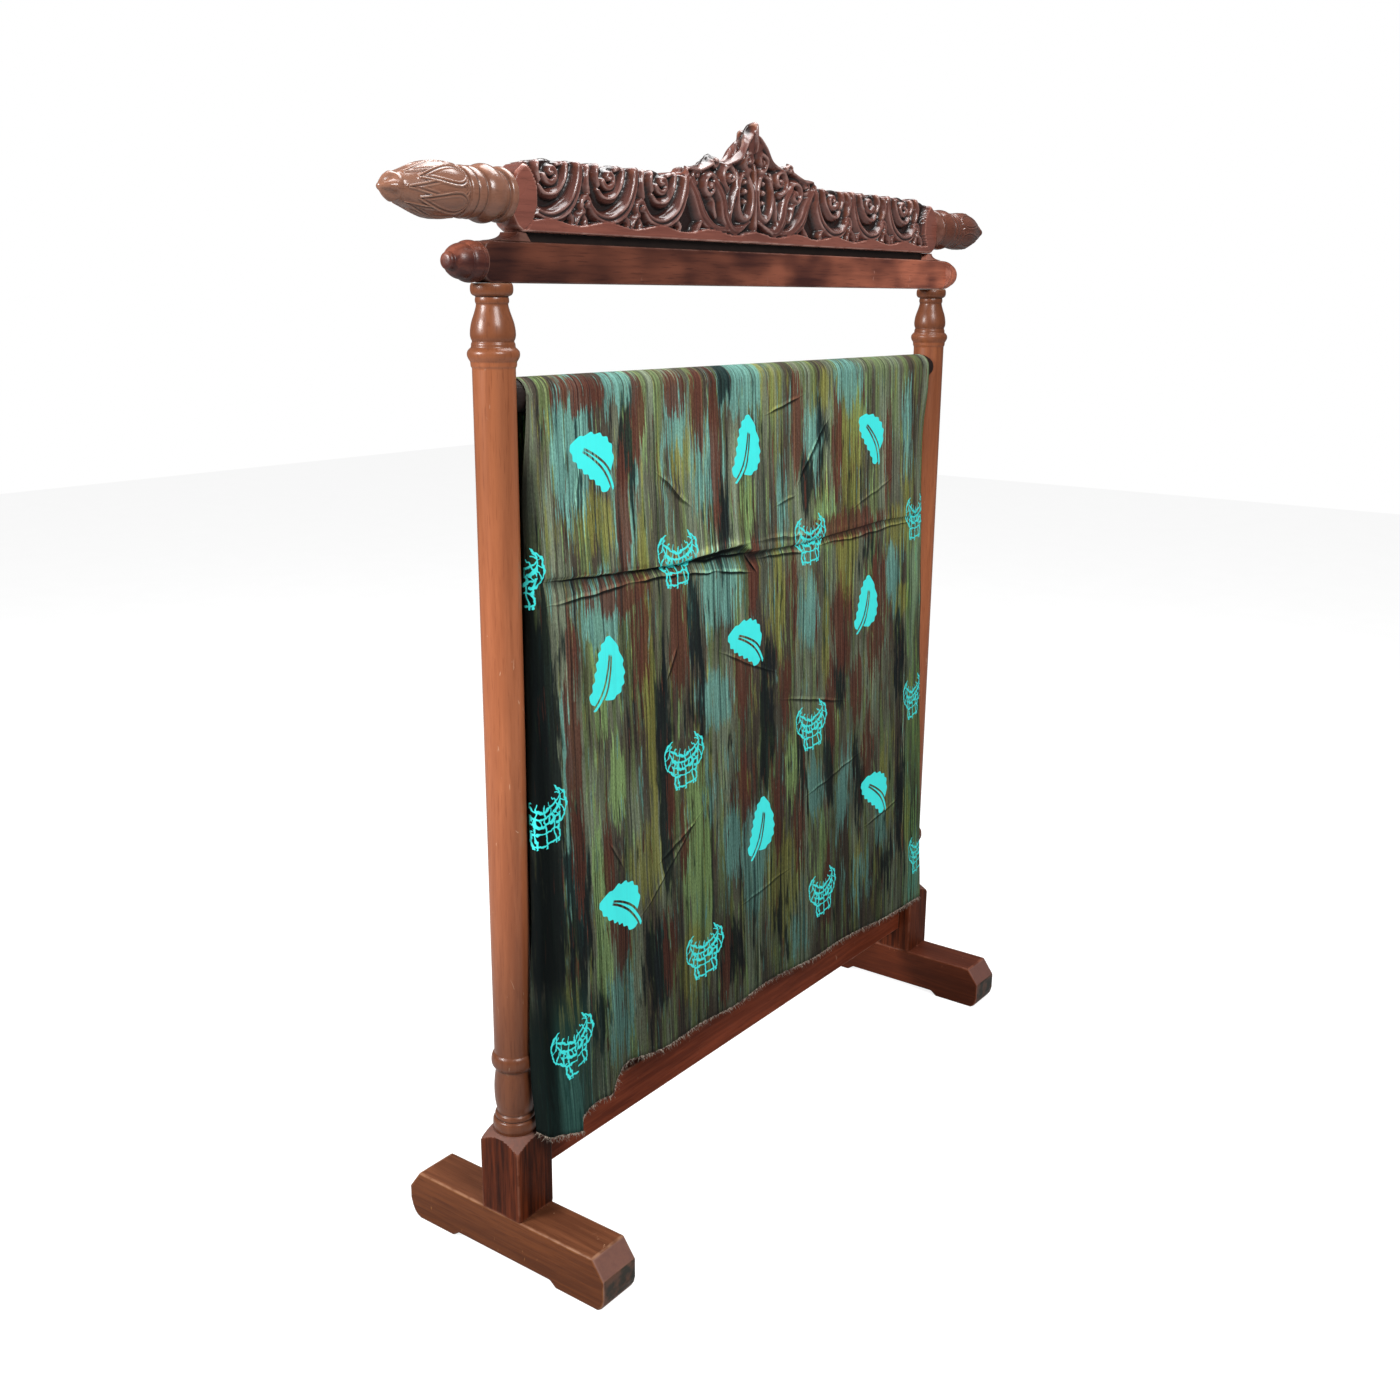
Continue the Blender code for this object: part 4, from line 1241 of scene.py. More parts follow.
FRONT_FOLDS = [
    (-0.497, 0.0, 0.026, 0.006, 0.3), (-0.452, 0.04, 0.02, -0.007, 0.5), (-0.405, 0.03, 0.024, 0.005, 0.55),
    (-0.33, -0.05, 0.04, -0.005, 0.6), (-0.23, 0.02, 0.05, 0.004, 0.45), (-0.12, 0.03, 0.05, -0.004, 0.5),
    (0.01, 0.0, 0.06, 0.004, 0.4), (0.14, -0.02, 0.055, -0.0045, 0.6), (0.27, 0.0, 0.06, 0.004, 0.45),
    (0.39, 0.02, 0.05, -0.004, 0.55),
]
REAR_FOLDS = [
    (-0.45, 0.02, 0.07, 0.007, 0.8), (-0.24, -0.02, 0.06, 0.006, 0.6), (0.01, 0.03, 0.08, 0.008, 0.9),
    (0.23, 0.0, 0.06, 0.006, 0.55), (0.42, -0.02, 0.06, 0.007, 0.75),
]
print("hem runs from", FRONT_HEM[:, 1].min(), "to", FRONT_HEM[:, 1].max(), "m above the floor")

# %% Rules of the drape


def look_up(table, column, where):
    return np.interp(where, table[:, 0], table[:, column])


def fold_depth(folds, across, above_hem):
    """Sum of the soft folds at a place; each fades out towards the top of its reach."""
    depth = np.zeros_like(across)
    for place_at_hem, drift, half_width, height, reach in folds:
        offset = (across - place_at_hem - drift * above_hem) / half_width
        depth += height * (1.0 - ease(0.0, reach, above_hem)) * np.exp(-offset * offset)
    return depth


def crease_depth(across, height):
    """Lip, hollow and foot of the storage crease, as an offset away from the viewer."""
    lip = look_up(CREASE, 1, across)
    foot = look_up(CREASE, 2, across)
    depth = look_up(CREASE, 3, across)
    hollow = lip + (foot - lip) * HOLLOW_PLACE
    above = -LIP_RISE * depth * np.exp(-np.maximum(height - lip, 0.0) / LIP_FADE)
    turn_in = (lip - height) / (lip - hollow)
    upper = -LIP_RISE * depth + (depth * HOLLOW_DEPTH + LIP_RISE * depth) * np.clip(turn_in, 0.0, 1.0)
    lower = depth * HOLLOW_DEPTH * np.clip((height - foot) / (hollow - foot), 0.0, 1.0)
    return np.where(height >= lip, above, np.where(height >= hollow, upper, lower))


# Thin creases: both ends (place, height), half width, depth (+ is away from the viewer)
THIN_CREASES = [
    ((-0.296, 1.183), (-0.204, 1.121), 0.0055, -0.0022), ((-0.305, 1.172), (-0.21, 1.108), 0.0065, 0.0018),
    ((-0.011, 1.248), (0.118, 1.271), 0.006, 0.0022), ((0.085, 1.117), (0.202, 1.24), 0.006, 0.0022),
    ((0.095, 1.112), (0.212, 1.232), 0.006, -0.0014), ((-0.5, 1.12), (-0.47, 1.16), 0.005, -0.0016),
    ((-0.44, 1.12), (-0.47, 1.16), 0.005, -0.0016), ((-0.47, 1.16), (-0.466, 1.2), 0.005, -0.0016),
    ((-0.33, 0.56), (-0.21, 0.61), 0.005, 0.0018), ((-0.39, 0.48), (-0.18, 0.64), 0.005, -0.0014),
    ((0.02, 0.76), (0.26, 0.705), 0.006, 0.0016), ((0.08, 0.56), (0.33, 0.6), 0.006, -0.0014),
    ((-0.16, 0.88), (0.04, 0.8), 0.006, 0.0014),
]


def thin_crease_depth(across, height):
    depth = np.zeros_like(across)
    for start, end, half_width, size in THIN_CREASES:
        start = np.array(start)
        step = np.array(end) - start
        part = ((across - start[0]) * step[0] + (height - start[1]) * step[1]) / (step @ step)
        part = np.clip(part, 0.0, 1.0)
        gap = np.hypot(across - start[0] - part * step[0], height - start[1] - part * step[1])
        fade = np.clip(4.0 * part * (1.0 - part) + 0.25, 0.0, 1.0)
        depth += size * fade * np.exp(-(gap / half_width) ** 2)
    return depth


def soft_waves(across, height):
    """Slow unevenness of a cloth that hangs free, well under a millimetre."""
    return 0.0007 * np.sin(across * 31.0 + 2.0 * np.sin(height * 7.0)) + 0.0005 * np.sin(
        height * 43.0 + 3.0 * np.sin(across * 11.0))


def front_points(share, height_at):
    """Points of one row of the front drop: place, depth, height and flat place across."""
    inside = np.maximum(0.0, share - MARGIN_SHARE) / (1.0 - MARGIN_SHARE)

    def spread(height):
        left = look_up(FRONT_EDGES, 1, height)
        return left + (look_up(FRONT_EDGES, 2, height) - left) * inside

    across = spread(height_at(spread(np.full_like(share, 0.6))))
    height = height_at(across)
    drop = ROD_Z - height
    depth = -CLOTH_RADIUS - FRONT_LEAN * drop
    depth += fold_depth(FRONT_FOLDS, across, height - look_up(FRONT_HEM, 1, across))
    depth += crease_depth(across, height)
    settled = ease(0.0, SETTLED_BELOW_ROD, drop)
    depth += settled * (thin_crease_depth(across, height) + soft_waves(across, height))
    tail = ease(0.0, TAIL_FOLD_WIDTH, TAIL_FOLD_X - across)
    depth -= TAIL_LIFT * tail * (1.0 - ease(0.0, TAIL_REACH, height - FRONT_HEM[2, 1]))
    depth += settled * STRIP_SLOPE * np.maximum(0.0, across - STRIP_CREASE_X)
    longer = 1.0 + MARGIN_AT_HEM * (1.0 - ease(0.25, 0.6, height))
    turned_back = np.maximum(0.0, MARGIN_SHARE - share) * FLAT_WIDTH * longer
    flat = across - turned_back
    quarter = MARGIN_RADIUS * math.pi / 2
    angle = np.minimum(turned_back, quarter) / MARGIN_RADIUS
    across = across - settled * MARGIN_RADIUS * np.sin(angle) - (1.0 - settled) * turned_back * MARGIN_AT_ROD
    depth += settled * (MARGIN_RADIUS * (1.0 - np.cos(angle)) + np.maximum(0.0, turned_back - quarter))
    return across, depth, height, flat


print("drape rules ready")

# %% [markdown]
# The sheet is a grid in the cloth's own directions: columns of warp and rows of weft. Rows
# crowd together at the crease, and columns at the tail's fold. A UV map holds the flat place
# of each point in metres, so that dye and stamps stay the right size wherever cloth bends.

# %% Grid of the cloth
COLUMNS_MARGIN = 7
COLUMNS_TAIL = 14
COLUMNS_MAIN = 236
ROWS_BELOW = 92
ROWS_CREASE = 10
ROWS_ABOVE = 38
ROWS_ROD = 16
ROWS_REAR = 34


def share_at(across, height):
    left = look_up(FRONT_EDGES, 1, height)
    right = look_up(FRONT_EDGES, 2, height)
    return MARGIN_SHARE + (1.0 - MARGIN_SHARE) * (across - left) / (right - left)


fold_start = share_at(TAIL_FOLD_X - TAIL_FOLD_WIDTH, FRONT_HEM[2, 1])
fold_end = share_at(TAIL_FOLD_X, FRONT_HEM[2, 1])
column_shares = np.concatenate([
    np.linspace(0.0, MARGIN_SHARE, COLUMNS_MARGIN, endpoint=False),
    np.linspace(MARGIN_SHARE, fold_start, COLUMNS_TAIL, endpoint=False),
    np.linspace(fold_start, fold_end, 3, endpoint=False),
    np.linspace(fold_end, 1.0, COLUMNS_MAIN + 1),
])
row_plan = [("below", i / ROWS_BELOW) for i in range(ROWS_BELOW)]
row_plan += [("crease", i / ROWS_CREASE) for i in range(ROWS_CREASE + 1)]
row_plan += [("above", i / ROWS_ABOVE) for i in range(1, ROWS_ABOVE)]
row_plan += [("rod", i / ROWS_ROD) for i in range(ROWS_ROD + 1)]
row_plan += [("rear", i / ROWS_REAR) for i in range(1, ROWS_REAR + 1)]


def cloth_row(zone, part):
    """One row of points and their flat places: (place, depth, height, flat x, flat y)."""
    share = column_shares
    if zone in ("below", "crease", "above") or (zone == "rod" and part == 0.0):

        def height_at(across):
            lip = look_up(CREASE, 1, across)
            foot = look_up(CREASE, 2, across)
            if zone == "below":
                hem = look_up(FRONT_HEM, 1, across)
                hem = hem + 0.001 * np.sin(across * 410.0) * np.sin(across * 97.0)
                return hem + (foot - hem) * part
            if zone == "crease":
                return foot + (lip - foot) * part
            if zone == "above":
                return lip + (ROD_Z - lip) * part
            return np.full_like(across, ROD_Z)

        across, depth, height, flat = front_points(share, height_at)
        return across, depth, height, flat, height
    across = ROD_END_LEFT + (ROD_END_RIGHT - ROD_END_LEFT) * share
    if zone == "rod":
        angle = math.pi * part
        depth = np.full_like(share, -CLOTH_RADIUS * math.cos(angle))
        height = np.full_like(share, ROD_Z + CLOTH_RADIUS * math.sin(angle))
        return across, depth, height, across, ROD_Z + CLOTH_RADIUS * angle + 0.0 * share
    height = np.full_like(share, ROD_Z + (REAR_HEM - ROD_Z) * part)
    depth = CLOTH_RADIUS + fold_depth(REAR_FOLDS, across, height - REAR_HEM)
    return across, depth, height, across, 2 * ROD_Z + math.pi * CLOTH_RADIUS - height


rows = np.array([np.stack(cloth_row(zone, part), axis=-1) for zone, part in row_plan])
cloth_points = rows[..., :3].reshape(-1, 3)
cloth_flat = rows[..., 3:].reshape(-1, 2)
row_count, column_count = rows.shape[:2]
cloth_faces = grid_faces(row_count, column_count, closed=False)
print("cloth grid:", row_count, "rows by", column_count, "columns")

# %% [markdown]
# ## Where the motifs are stamped
# A copper stamp prints one motif at a time, in rows that alternate. Each stamp's place is
# listed, and every point of the cloth keeps its place relative to the nearest stamp. The
# shader then draws the motif once, from that place, wherever a stamp was set.

# %% Places of the stamps
# Leaf stamps: place across, height, turn in degrees, kind (1 broad, -1 slim)
LEAVES = [
    (-0.4317, 1.206, 54.0, 1), (0.344, 1.185, 40.0, 1), (-0.064, 0.8765, 60.0, 1),
    (-0.4104, 0.525, 57.0, 1), (0.36, 0.503, 50.0, 1), (-0.0587, 1.1908, -20.0, -1),
    (-0.4251, 0.8936, -20.0, -1), (0.3231, 0.8752, -22.0, -1), (-0.0332, 0.5408, -20.0, -1),
]
# Horned-head stamps: place across, height, turn in degrees
HEADS = [
    (-0.598, 1.056, 2.0), (-0.2489, 1.0413, 0.0), (0.131, 1.0246, 2.0), (0.5214, 1.0188, 0.0),
    (-0.574, 0.7136, 4.0), (-0.2433, 0.7163, 3.0), (0.1333, 0.6891, 3.0), (0.5211, 0.658, 2.0),
    (-0.5364, 0.3443, 8.0), (-0.2008, 0.3729, 3.0), (0.164, 0.3614, 2.0), (0.5543, 0.3191, 2.0),
]
STAMP_REACH = 0.082


def stamp_places(stamps):
    """For each cloth point: its place seen from the nearest stamp, and that stamp's kind."""
    best = np.full(len(cloth_flat), 9.0)
    local = np.zeros((len(cloth_flat), 3))
    for across, height, turn_degrees, *kind in stamps:
        gap = cloth_flat - (across, height)
        distance = np.hypot(gap[:, 0], gap[:, 1])
        angle = -math.radians(turn_degrees)
        x = gap[:, 0] * math.cos(angle) - gap[:, 1] * math.sin(angle)
        y = gap[:, 0] * math.sin(angle) + gap[:, 1] * math.cos(angle)
        near = (distance < best) & (distance < STAMP_REACH)
        best = np.where(near, distance, best)
        value = np.stack([x, y, np.full_like(x, kind[0] if kind else 1.0)], axis=-1)
        local = np.where(near[:, None], value, local)
    return local


leaf_places = stamp_places(LEAVES)
head_places = stamp_places(HEADS)
print(len(LEAVES), "leaves and", len(HEADS), "horned heads")

# %% [markdown]
# ## The dyes
# The ground is drip-dyed: dye is sprayed or poured near the top of an area and runs down the
# warp, so colours change slowly along a thread and abruptly from thread to thread, and each
# patch ends in a ragged row of points. The patches that set the look are listed one by one, as
# soft ovals of one dye each. The shader adds the streaks and ragged ends.

# %% Dye patches
# Place across, height, half width and half height in millimetres, and the amount
DYES = {
    "teal": [
        (-475, 1220, 34, 75, 1.0), (-370, 1120, 20, 60, 0.8), (-430, 990, 34, 45, 1.0),
        (-140, 970, 48, 45, 1.0), (-155, 800, 34, 36, 1.0), (-240, 1250, 24, 40, 0.9),
        (-165, 1170, 30, 60, 0.7), (-70, 1310, 50, 50, 0.9), (-370, 1310, 30, 30, 0.8),
        (140, 1200, 20, 45, 0.8), (260, 1290, 34, 40, 0.9), (120, 900, 26, 50, 0.9),
        (420, 925, 20, 40, 0.9), (-520, 820, 10, 60, 0.9), (-60, 500, 34, 70, 0.95),
        (-120, 540, 20, 60, 0.8), (-420, 360, 26, 60, 0.9), (140, 570, 22, 50, 0.8),
        (240, 530, 22, 60, 0.8), (380, 420, 20, 40, 0.7), (-560, 260, 34, 55, 1.0), (530, 270, 30, 40, 0.7),
        (-520, 590, 20, 80, 0.5), (-180, 650, 20, 50, 0.6), (40, 1080, 20, 50, 0.5),
        (480, 1180, 20, 70, 0.7), (300, 340, 30, 50, 0.6), (80, 300, 30, 40, 0.5),
    ],
    "red": [
        (-460, 1300, 40, 22, 0.9), (-375, 1120, 12, 70, 1.0), (-390, 1010, 50, 26, 0.9),
        (-255, 930, 16, 80, 1.0), (-505, 820, 12, 120, 1.0), (-505, 660, 10, 100, 0.9),
        (-345, 920, 16, 70, 0.7), (-335, 1270, 10, 50, 0.9), (-245, 1290, 22, 30, 0.9),
        (-190, 1270, 16, 50, 0.8), (-145, 1200, 10, 100, 1.0), (-45, 980, 12, 50, 1.0),
        (-80, 820, 20, 60, 0.9), (90, 1220, 14, 70, 0.9), (220, 1180, 12, 80, 0.9),
        (250, 1035, 100, 22, 0.8), (240, 850, 30, 70, 0.8), (80, 930, 12, 80, 0.8), (360, 850, 30, 90, 0.8),
        (-410, 460, 12, 40, 0.9), (-280, 660, 10, 60, 0.9), (-250, 580, 12, 60, 0.7),
        (-80, 630, 20, 50, 0.8), (20, 580, 12, 80, 0.8), (200, 720, 14, 80, 0.9), (290, 720, 20, 50, 0.8),
        (90, 480, 14, 70, 0.8), (330, 600, 16, 70, 0.8), (-440, 560, 10, 80, 0.8), (400, 1160, 14, 80, 0.8),
        (-300, 400, 14, 60, 0.8), (180, 360, 16, 60, 0.8), (50, 780, 16, 50, 0.7), (-150, 340, 12, 60, 0.7),
    ],
    "dark": [
        (-360, 1220, 20, 50, 1.0), (-115, 1310, 12, 35, 1.0), (120, 1120, 18, 40, 1.0),
        (170, 1200, 16, 40, 0.7), (-210, 920, 10, 80, 0.9), (-295, 760, 14, 100, 1.1),
        (-295, 620, 12, 80, 1.0), (-570, 820, 30, 170, 1.2), (-570, 560, 26, 160, 1.1),
        (-5, 800, 15, 50, 0.9), (-10, 720, 16, 80, 1.1), (230, 760, 18, 50, 0.9), (190, 620, 14, 70, 1.0),
        (-330, 400, 26, 60, 0.9), (-130, 350, 30, 50, 0.8), (-510, 520, 26, 120, 0.8),
        (460, 450, 14, 100, 0.9), (-130, 1080, 18, 50, 0.8), (40, 340, 20, 60, 0.5),
        (340, 960, 26, 50, 0.6), (100, 620, 14, 60, 0.8), (300, 540, 14, 70, 0.8), (-200, 780, 20, 50, 0.5),
        (450, 760, 16, 70, 0.8), (-480, 370, 20, 50, 0.8), (400, 340, 20, 60, 0.7),
    ],
    "ochre": [
        (-325, 860, 10, 150, 1.0), (-335, 1070, 10, 50, 0.9), (-430, 1120, 50, 34, 0.8),
        (-220, 1200, 30, 40, 0.6), (270, 1160, 28, 90, 1.1), (180, 1280, 20, 30, 0.7),
        (250, 970, 26, 60, 1.0), (180, 860, 12, 80, 0.9), (30, 930, 20, 70, 0.9), (440, 1000, 40, 40, 0.8),
        (460, 870, 30, 24, 0.9), (-345, 580, 36, 50, 0.8), (-235, 370, 26, 50, 0.9),
        (-550, 400, 30, 36, 1.1), (40, 420, 36, 70, 0.9), (300, 360, 20, 40, 0.8), (390, 500, 18, 70, 0.8),
        (490, 400, 14, 50, 0.8), (0, 1290, 40, 40, 0.6), (480, 1080, 20, 40, 0.6),
    ],
    "green": [
        (-215, 530, 26, 130, 1.2), (-460, 520, 12, 120, 1.0), (-410, 720, 14, 50, 1.0),
        (-440, 900, 14, 100, 0.8), (-340, 1250, 20, 60, 0.5), (180, 1070, 30, 50, 0.7),
        (340, 900, 20, 60, 0.7), (70, 640, 18, 70, 0.7), (290, 1230, 30, 50, 0.8), (-60, 1100, 14, 60, 0.7),
        (160, 440, 20, 70, 0.7), (530, 340, 20, 60, 0.7),
    ],
}


def dye_amount(patches):
    amount = np.zeros(len(cloth_flat))
    height = cloth_flat[:, 1]
    fold_over = ROD_Z + 0.5 * math.pi * CLOTH_RADIUS
    height = np.where(height > fold_over, 2 * fold_over - height, height)
    across = np.where(cloth_flat[:, 1] > fold_over, -cloth_flat[:, 0], cloth_flat[:, 0])
    for *places, strength in patches:
        x, z, half_width, half_height = (place / 1000 for place in places)
        oval = ((across - x) / half_width) ** 2 + ((height - z) / half_height) ** 2
        amount = np.maximum(amount, strength * np.exp(-0.35 * oval ** 1.5))
    return amount


def crease_shade():
    """Painted shade in the hollow under the storage crease and a painted highlight along its lip: from -1 to
    1.
    """
    across, height = cloth_flat[:, 0], cloth_flat[:, 1]
    lip = look_up(CREASE, 1, across)
    foot = look_up(CREASE, 2, across)
    size = look_up(CREASE, 3, across) / 0.014
    gap = np.maximum(lip - foot, 0.001)
    dark = np.exp(-(((height - lip + 0.3 * gap) / (0.26 * gap + 0.0012)) ** 2))
    pale = np.exp(-((np.maximum(height - lip, 0.0) / 0.012) ** 2)) * (height > lip - 0.0005)
    shade = 0.3 + 0.7 * np.clip(size, 0.0, 1.0)
    inside = (np.abs(height - 1.03) < 0.15) & (across > -0.545)
    return np.where(inside, shade * (pale * 0.8 * (across > -0.3) - dark * (1.0 - pale)), 0.0)


dye_amounts = np.stack([dye_amount(DYES[name]) for name in DYES], axis=-1)
print("mean dye amounts:", dye_amounts.mean(axis=0).round(2))

# %% [markdown]
# ## Shader groups of the cloth
# Three groups paint dyes and stamps. The first turns a flat place into streaks that are long along
# the warp. The second draws a leaf: a half width that changes with height, on both sides of
# a bent midrib. The third draws a horned head as line-work: two crescent horns, a toothed
# crown, a net and a fringe. Both are ordinary motifs in a plain design of their own.

# %% Shader group for ragged dye patches
drip, entry, leave = new_group(
    "ragged_dye",
    [
        ("Flat", "Vector"), ("Amount", "Float"), ("Seed", "Float"), ("Threads", "Float", 170.0),
        ("Runs", "Float", 64.0), ("Length", "Float", 3.8), ("Soft", "Float", 0.05), ("Least", "Float", 0.34),
    ],
    [("Mask", "Float")],
)
flat_x, flat_y, _ = drip.parts(entry["Flat"])


def drip_streaks(per_metre, along, seed, detail):
    """Noise stretched along the warp, from -0.5 to 0.5."""
    return drip.noise(drip.joined(flat_x * per_metre, flat_y * along, seed), 1.0, detail, 0.6) - 0.5


threads = drip_streaks(entry["Threads"], entry["Length"] * 3.2, entry["Seed"], 3.0)
runs = drip_streaks(entry["Runs"], entry["Length"], entry["Seed"] + 7.0, 2.0)
level = entry["Amount"] * 0.74 + threads * 1.9 + runs * 1.35
low, high = entry["Least"] - entry["Soft"], entry["Least"] + entry["Soft"]
drip.put(leave["Mask"], drip.span(level, low, high))
RAGGED = drip.tree
print("group:", RAGGED.name)

# %% Shader group for the leaf stamp
LEAF_HALF = 0.058
# Half widths beside the midrib, from the stalk's end (0) to the tip (1), as shares
RIGHT_HALF = [(0.0, 0.0), (0.165, 0.0), (0.185, 0.36), (0.26, 0.72), (0.46, 0.95), (0.66, 0.84),
              (0.84, 0.56), (0.95, 0.22), (1.0, 0.0)]
LEFT_HALF = [(0.0, 0.0), (0.065, 0.0), (0.085, 0.42), (0.17, 0.66), (0.42, 0.76), (0.66, 0.72),
             (0.84, 0.52), (0.95, 0.22), (1.0, 0.0)]
leaf, entry, leave = new_group(
    "leaf_stamp", [("Place", "Vector"), ("Breadth", "Float")], [("Leaf", "Float"), ("Rib", "Float")],
)
x, y, kind = leaf.parts(entry["Place"])
climb = leaf.span(y, -LEAF_HALF, LEAF_HALF, smooth=False)


def half_width(points):
    """A half width read off a curve of the height."""
    node = leaf.node("ShaderNodeFloatCurve", Value=climb)
    curve = node.mapping.curves[0]
    for point in points[1:-1]:
        curve.points.new(*point)
    curve.points[0].location = points[0]
    curve.points[-1].location = points[-1]
    node.mapping.update()
    return Value(leaf, node.outputs["Value"]) * entry["Breadth"]


from_middle = y + 0.0135
bow = from_middle * from_middle * leaf.span(from_middle, -0.002, 0.002, -8.5, -2.8)
side = x - (bow + 0.004)
is_right = side > 0.0
width = half_width(RIGHT_HALF) * is_right + half_width(LEFT_HALF) * (1.0 - is_right)
width = width + leaf.math("SINE", y * 400.0 + side * 90.0) * 0.0019
body = leaf.span(width - abs(side), 0.0, 0.0008) * leaf.span(climb, 0.0, 0.01)
body = body * leaf.span(climb, 1.0, 0.99)
rib_width = leaf.span(climb, 0.75, 0.25, 0.0022, 0.0048, smooth=False)
rib = leaf.span(abs(abs(side) - rib_width), 0.0024, 0.0016) * leaf.span(climb, 0.77, 0.73)
stalk = leaf.span(abs(side), 0.0032, 0.0026) * leaf.span(climb, 0.2, 0.16)
stalk = stalk * leaf.span(climb, 0.005, 0.02)
leaf.put(leave["Leaf"], leaf.most(body, stalk) * (abs(kind) > 0.99))
leaf.put(leave["Rib"], rib)
LEAF_STAMP = leaf.tree
print("group:", LEAF_STAMP.name)

# %% Shader group for the horned-head stamp
HEAD_HALF = 0.049
LINE = 0.04
head, entry, leave = new_group("head_stamp", [("Place", "Vector")], [("Lines", "Float")])
drawn = head.moved(entry["Place"], 75.0, (0.013, 0.013, 0.0))
x, y, kind = head.parts(head.scaled(drawn, (1 / HEAD_HALF, 1 / HEAD_HALF, 1.0)))
mirror_x = abs(x)
place = head.joined(mirror_x, y, 0.0)


def ring_gap(middle_x, middle_y, radius):
    """Distance from a circle, drawn on both sides at once; below zero is inside it."""
    return head.vector("LENGTH", head.vector("SUBTRACT", place, (middle_x, middle_y, 0.0))) - radius


def line_at(distance):
    return head.span(abs(distance), LINE, LINE * 0.6)


def between(value, low, high):
    return (value > low) * (value < high)


def teeth_of(value, high, low):
    """Thin lines at every whole step of a value."""
    return head.span(head.math("PINGPONG", value, 0.5), high, low)


horn_outer = ring_gap(0.42, 0.26, 0.58)
horn_inner = ring_gap(0.24, 0.5, 0.5)
horn_angle = head.math("ARCTAN2", y - 0.55, mirror_x - 0.4)
horn_ribs = (horn_outer < 0.0) * (horn_inner > 0.0) * teeth_of(horn_angle * 2.3, 0.1, 0.06)
horn = head.most(line_at(horn_outer), line_at(horn_inner), horn_ribs)
horn = horn * (mirror_x > 0.46) * (horn_outer < LINE) * (horn_inner > -LINE)

crown_gap = ring_gap(0.0, 1.22, 1.0)
crown_steps = head.math("ARCTAN2", x, 1.22 - y) * 3.6
crown_teeth = teeth_of(crown_steps, 0.1, 0.05) * between(crown_gap, -0.2, 0.0)
net_ribs = teeth_of(crown_steps, 0.1, 0.06) * between(crown_gap, 0.0, 0.42)
net = head.most(line_at(crown_gap), line_at(crown_gap - 0.2), line_at(crown_gap - 0.42))
net = head.most(net, crown_teeth, net_ribs) * (mirror_x < 0.7)

eye = line_at(ring_gap(0.3, -0.08, 0.14))
muzzle_half = head.span(y, -0.92, -0.2, 0.5, 0.62, smooth=False)
in_muzzle = mirror_x < muzzle_half
fringe = teeth_of(x * 2.6, 0.12, 0.07) * in_muzzle * between(y, -0.92, -0.24)
bars = head.most(line_at(y + 0.44), line_at(y + 0.78)) * in_muzzle
sides = line_at(mirror_x - muzzle_half) * between(y, -0.88, 0.0)
head.put(leave["Lines"], head.most(horn, net, eye, fringe, bars, sides) * (kind > 0.99))
HEAD_STAMP = head.tree
print("group:", HEAD_STAMP.name)

# %% [markdown]
# ## The cotton
# Plain-woven cotton, waxed and dyed, is matt and shines little. The weave is far finer than
# a millimetre, so it is a bump made of two crossed waves. Under it lie the slubs of single
# threads, which the dye shows as lighter and darker lines. One more group draws a thin crease
# as a line of painted shade beside a painted highlight, where the light catches the fold.

# %% Shader group for a thin crease
thin, entry, leave = new_group(
    "crease_line",
    [("Flat", "Vector"), ("Start", "Vector"), ("End", "Vector"), ("Width", "Float")],
    [("Dark", "Float"), ("Pale", "Float")],
)
bent = thin.moved(thin.scaled(entry["Flat"], (1.0, 1.0, 0.0)), 16.0, (0.012, 0.012, 0.0))
from_start = thin.vector("SUBTRACT", bent, entry["Start"])
whole = thin.vector("SUBTRACT", entry["End"], entry["Start"])
reach = thin.vector("DOT_PRODUCT", from_start, whole)
share = thin.math("DIVIDE", reach, thin.vector("DOT_PRODUCT", whole, whole), clamp=True)
step_x, step_y, _ = thin.parts(whole)
gap_x, gap_y, _ = thin.parts(thin.vector(
    "SUBTRACT", from_start, thin.scaled(whole, thin.joined(share, share, share)),
))
distance = thin.math("SQRT", gap_x * gap_x + gap_y * gap_y)
fade = thin.span(share, 0.0, 0.35) * thin.span(share, 1.0, 0.65)
closeness = thin.math("SUBTRACT", 1.0, distance / (entry["Width"] * (fade + 0.35)), clamp=True)
closeness = thin.math("MULTIPLY", closeness, 1.9, clamp=True)
closeness = closeness * thin.math("ADD", fade, 0.15, clamp=True)
above = step_x * gap_y - step_y * gap_x > 0.0
thin.put(leave["Pale"], closeness * above)
thin.put(leave["Dark"], closeness * (1.0 - above))
CREASE_LINE = thin.tree
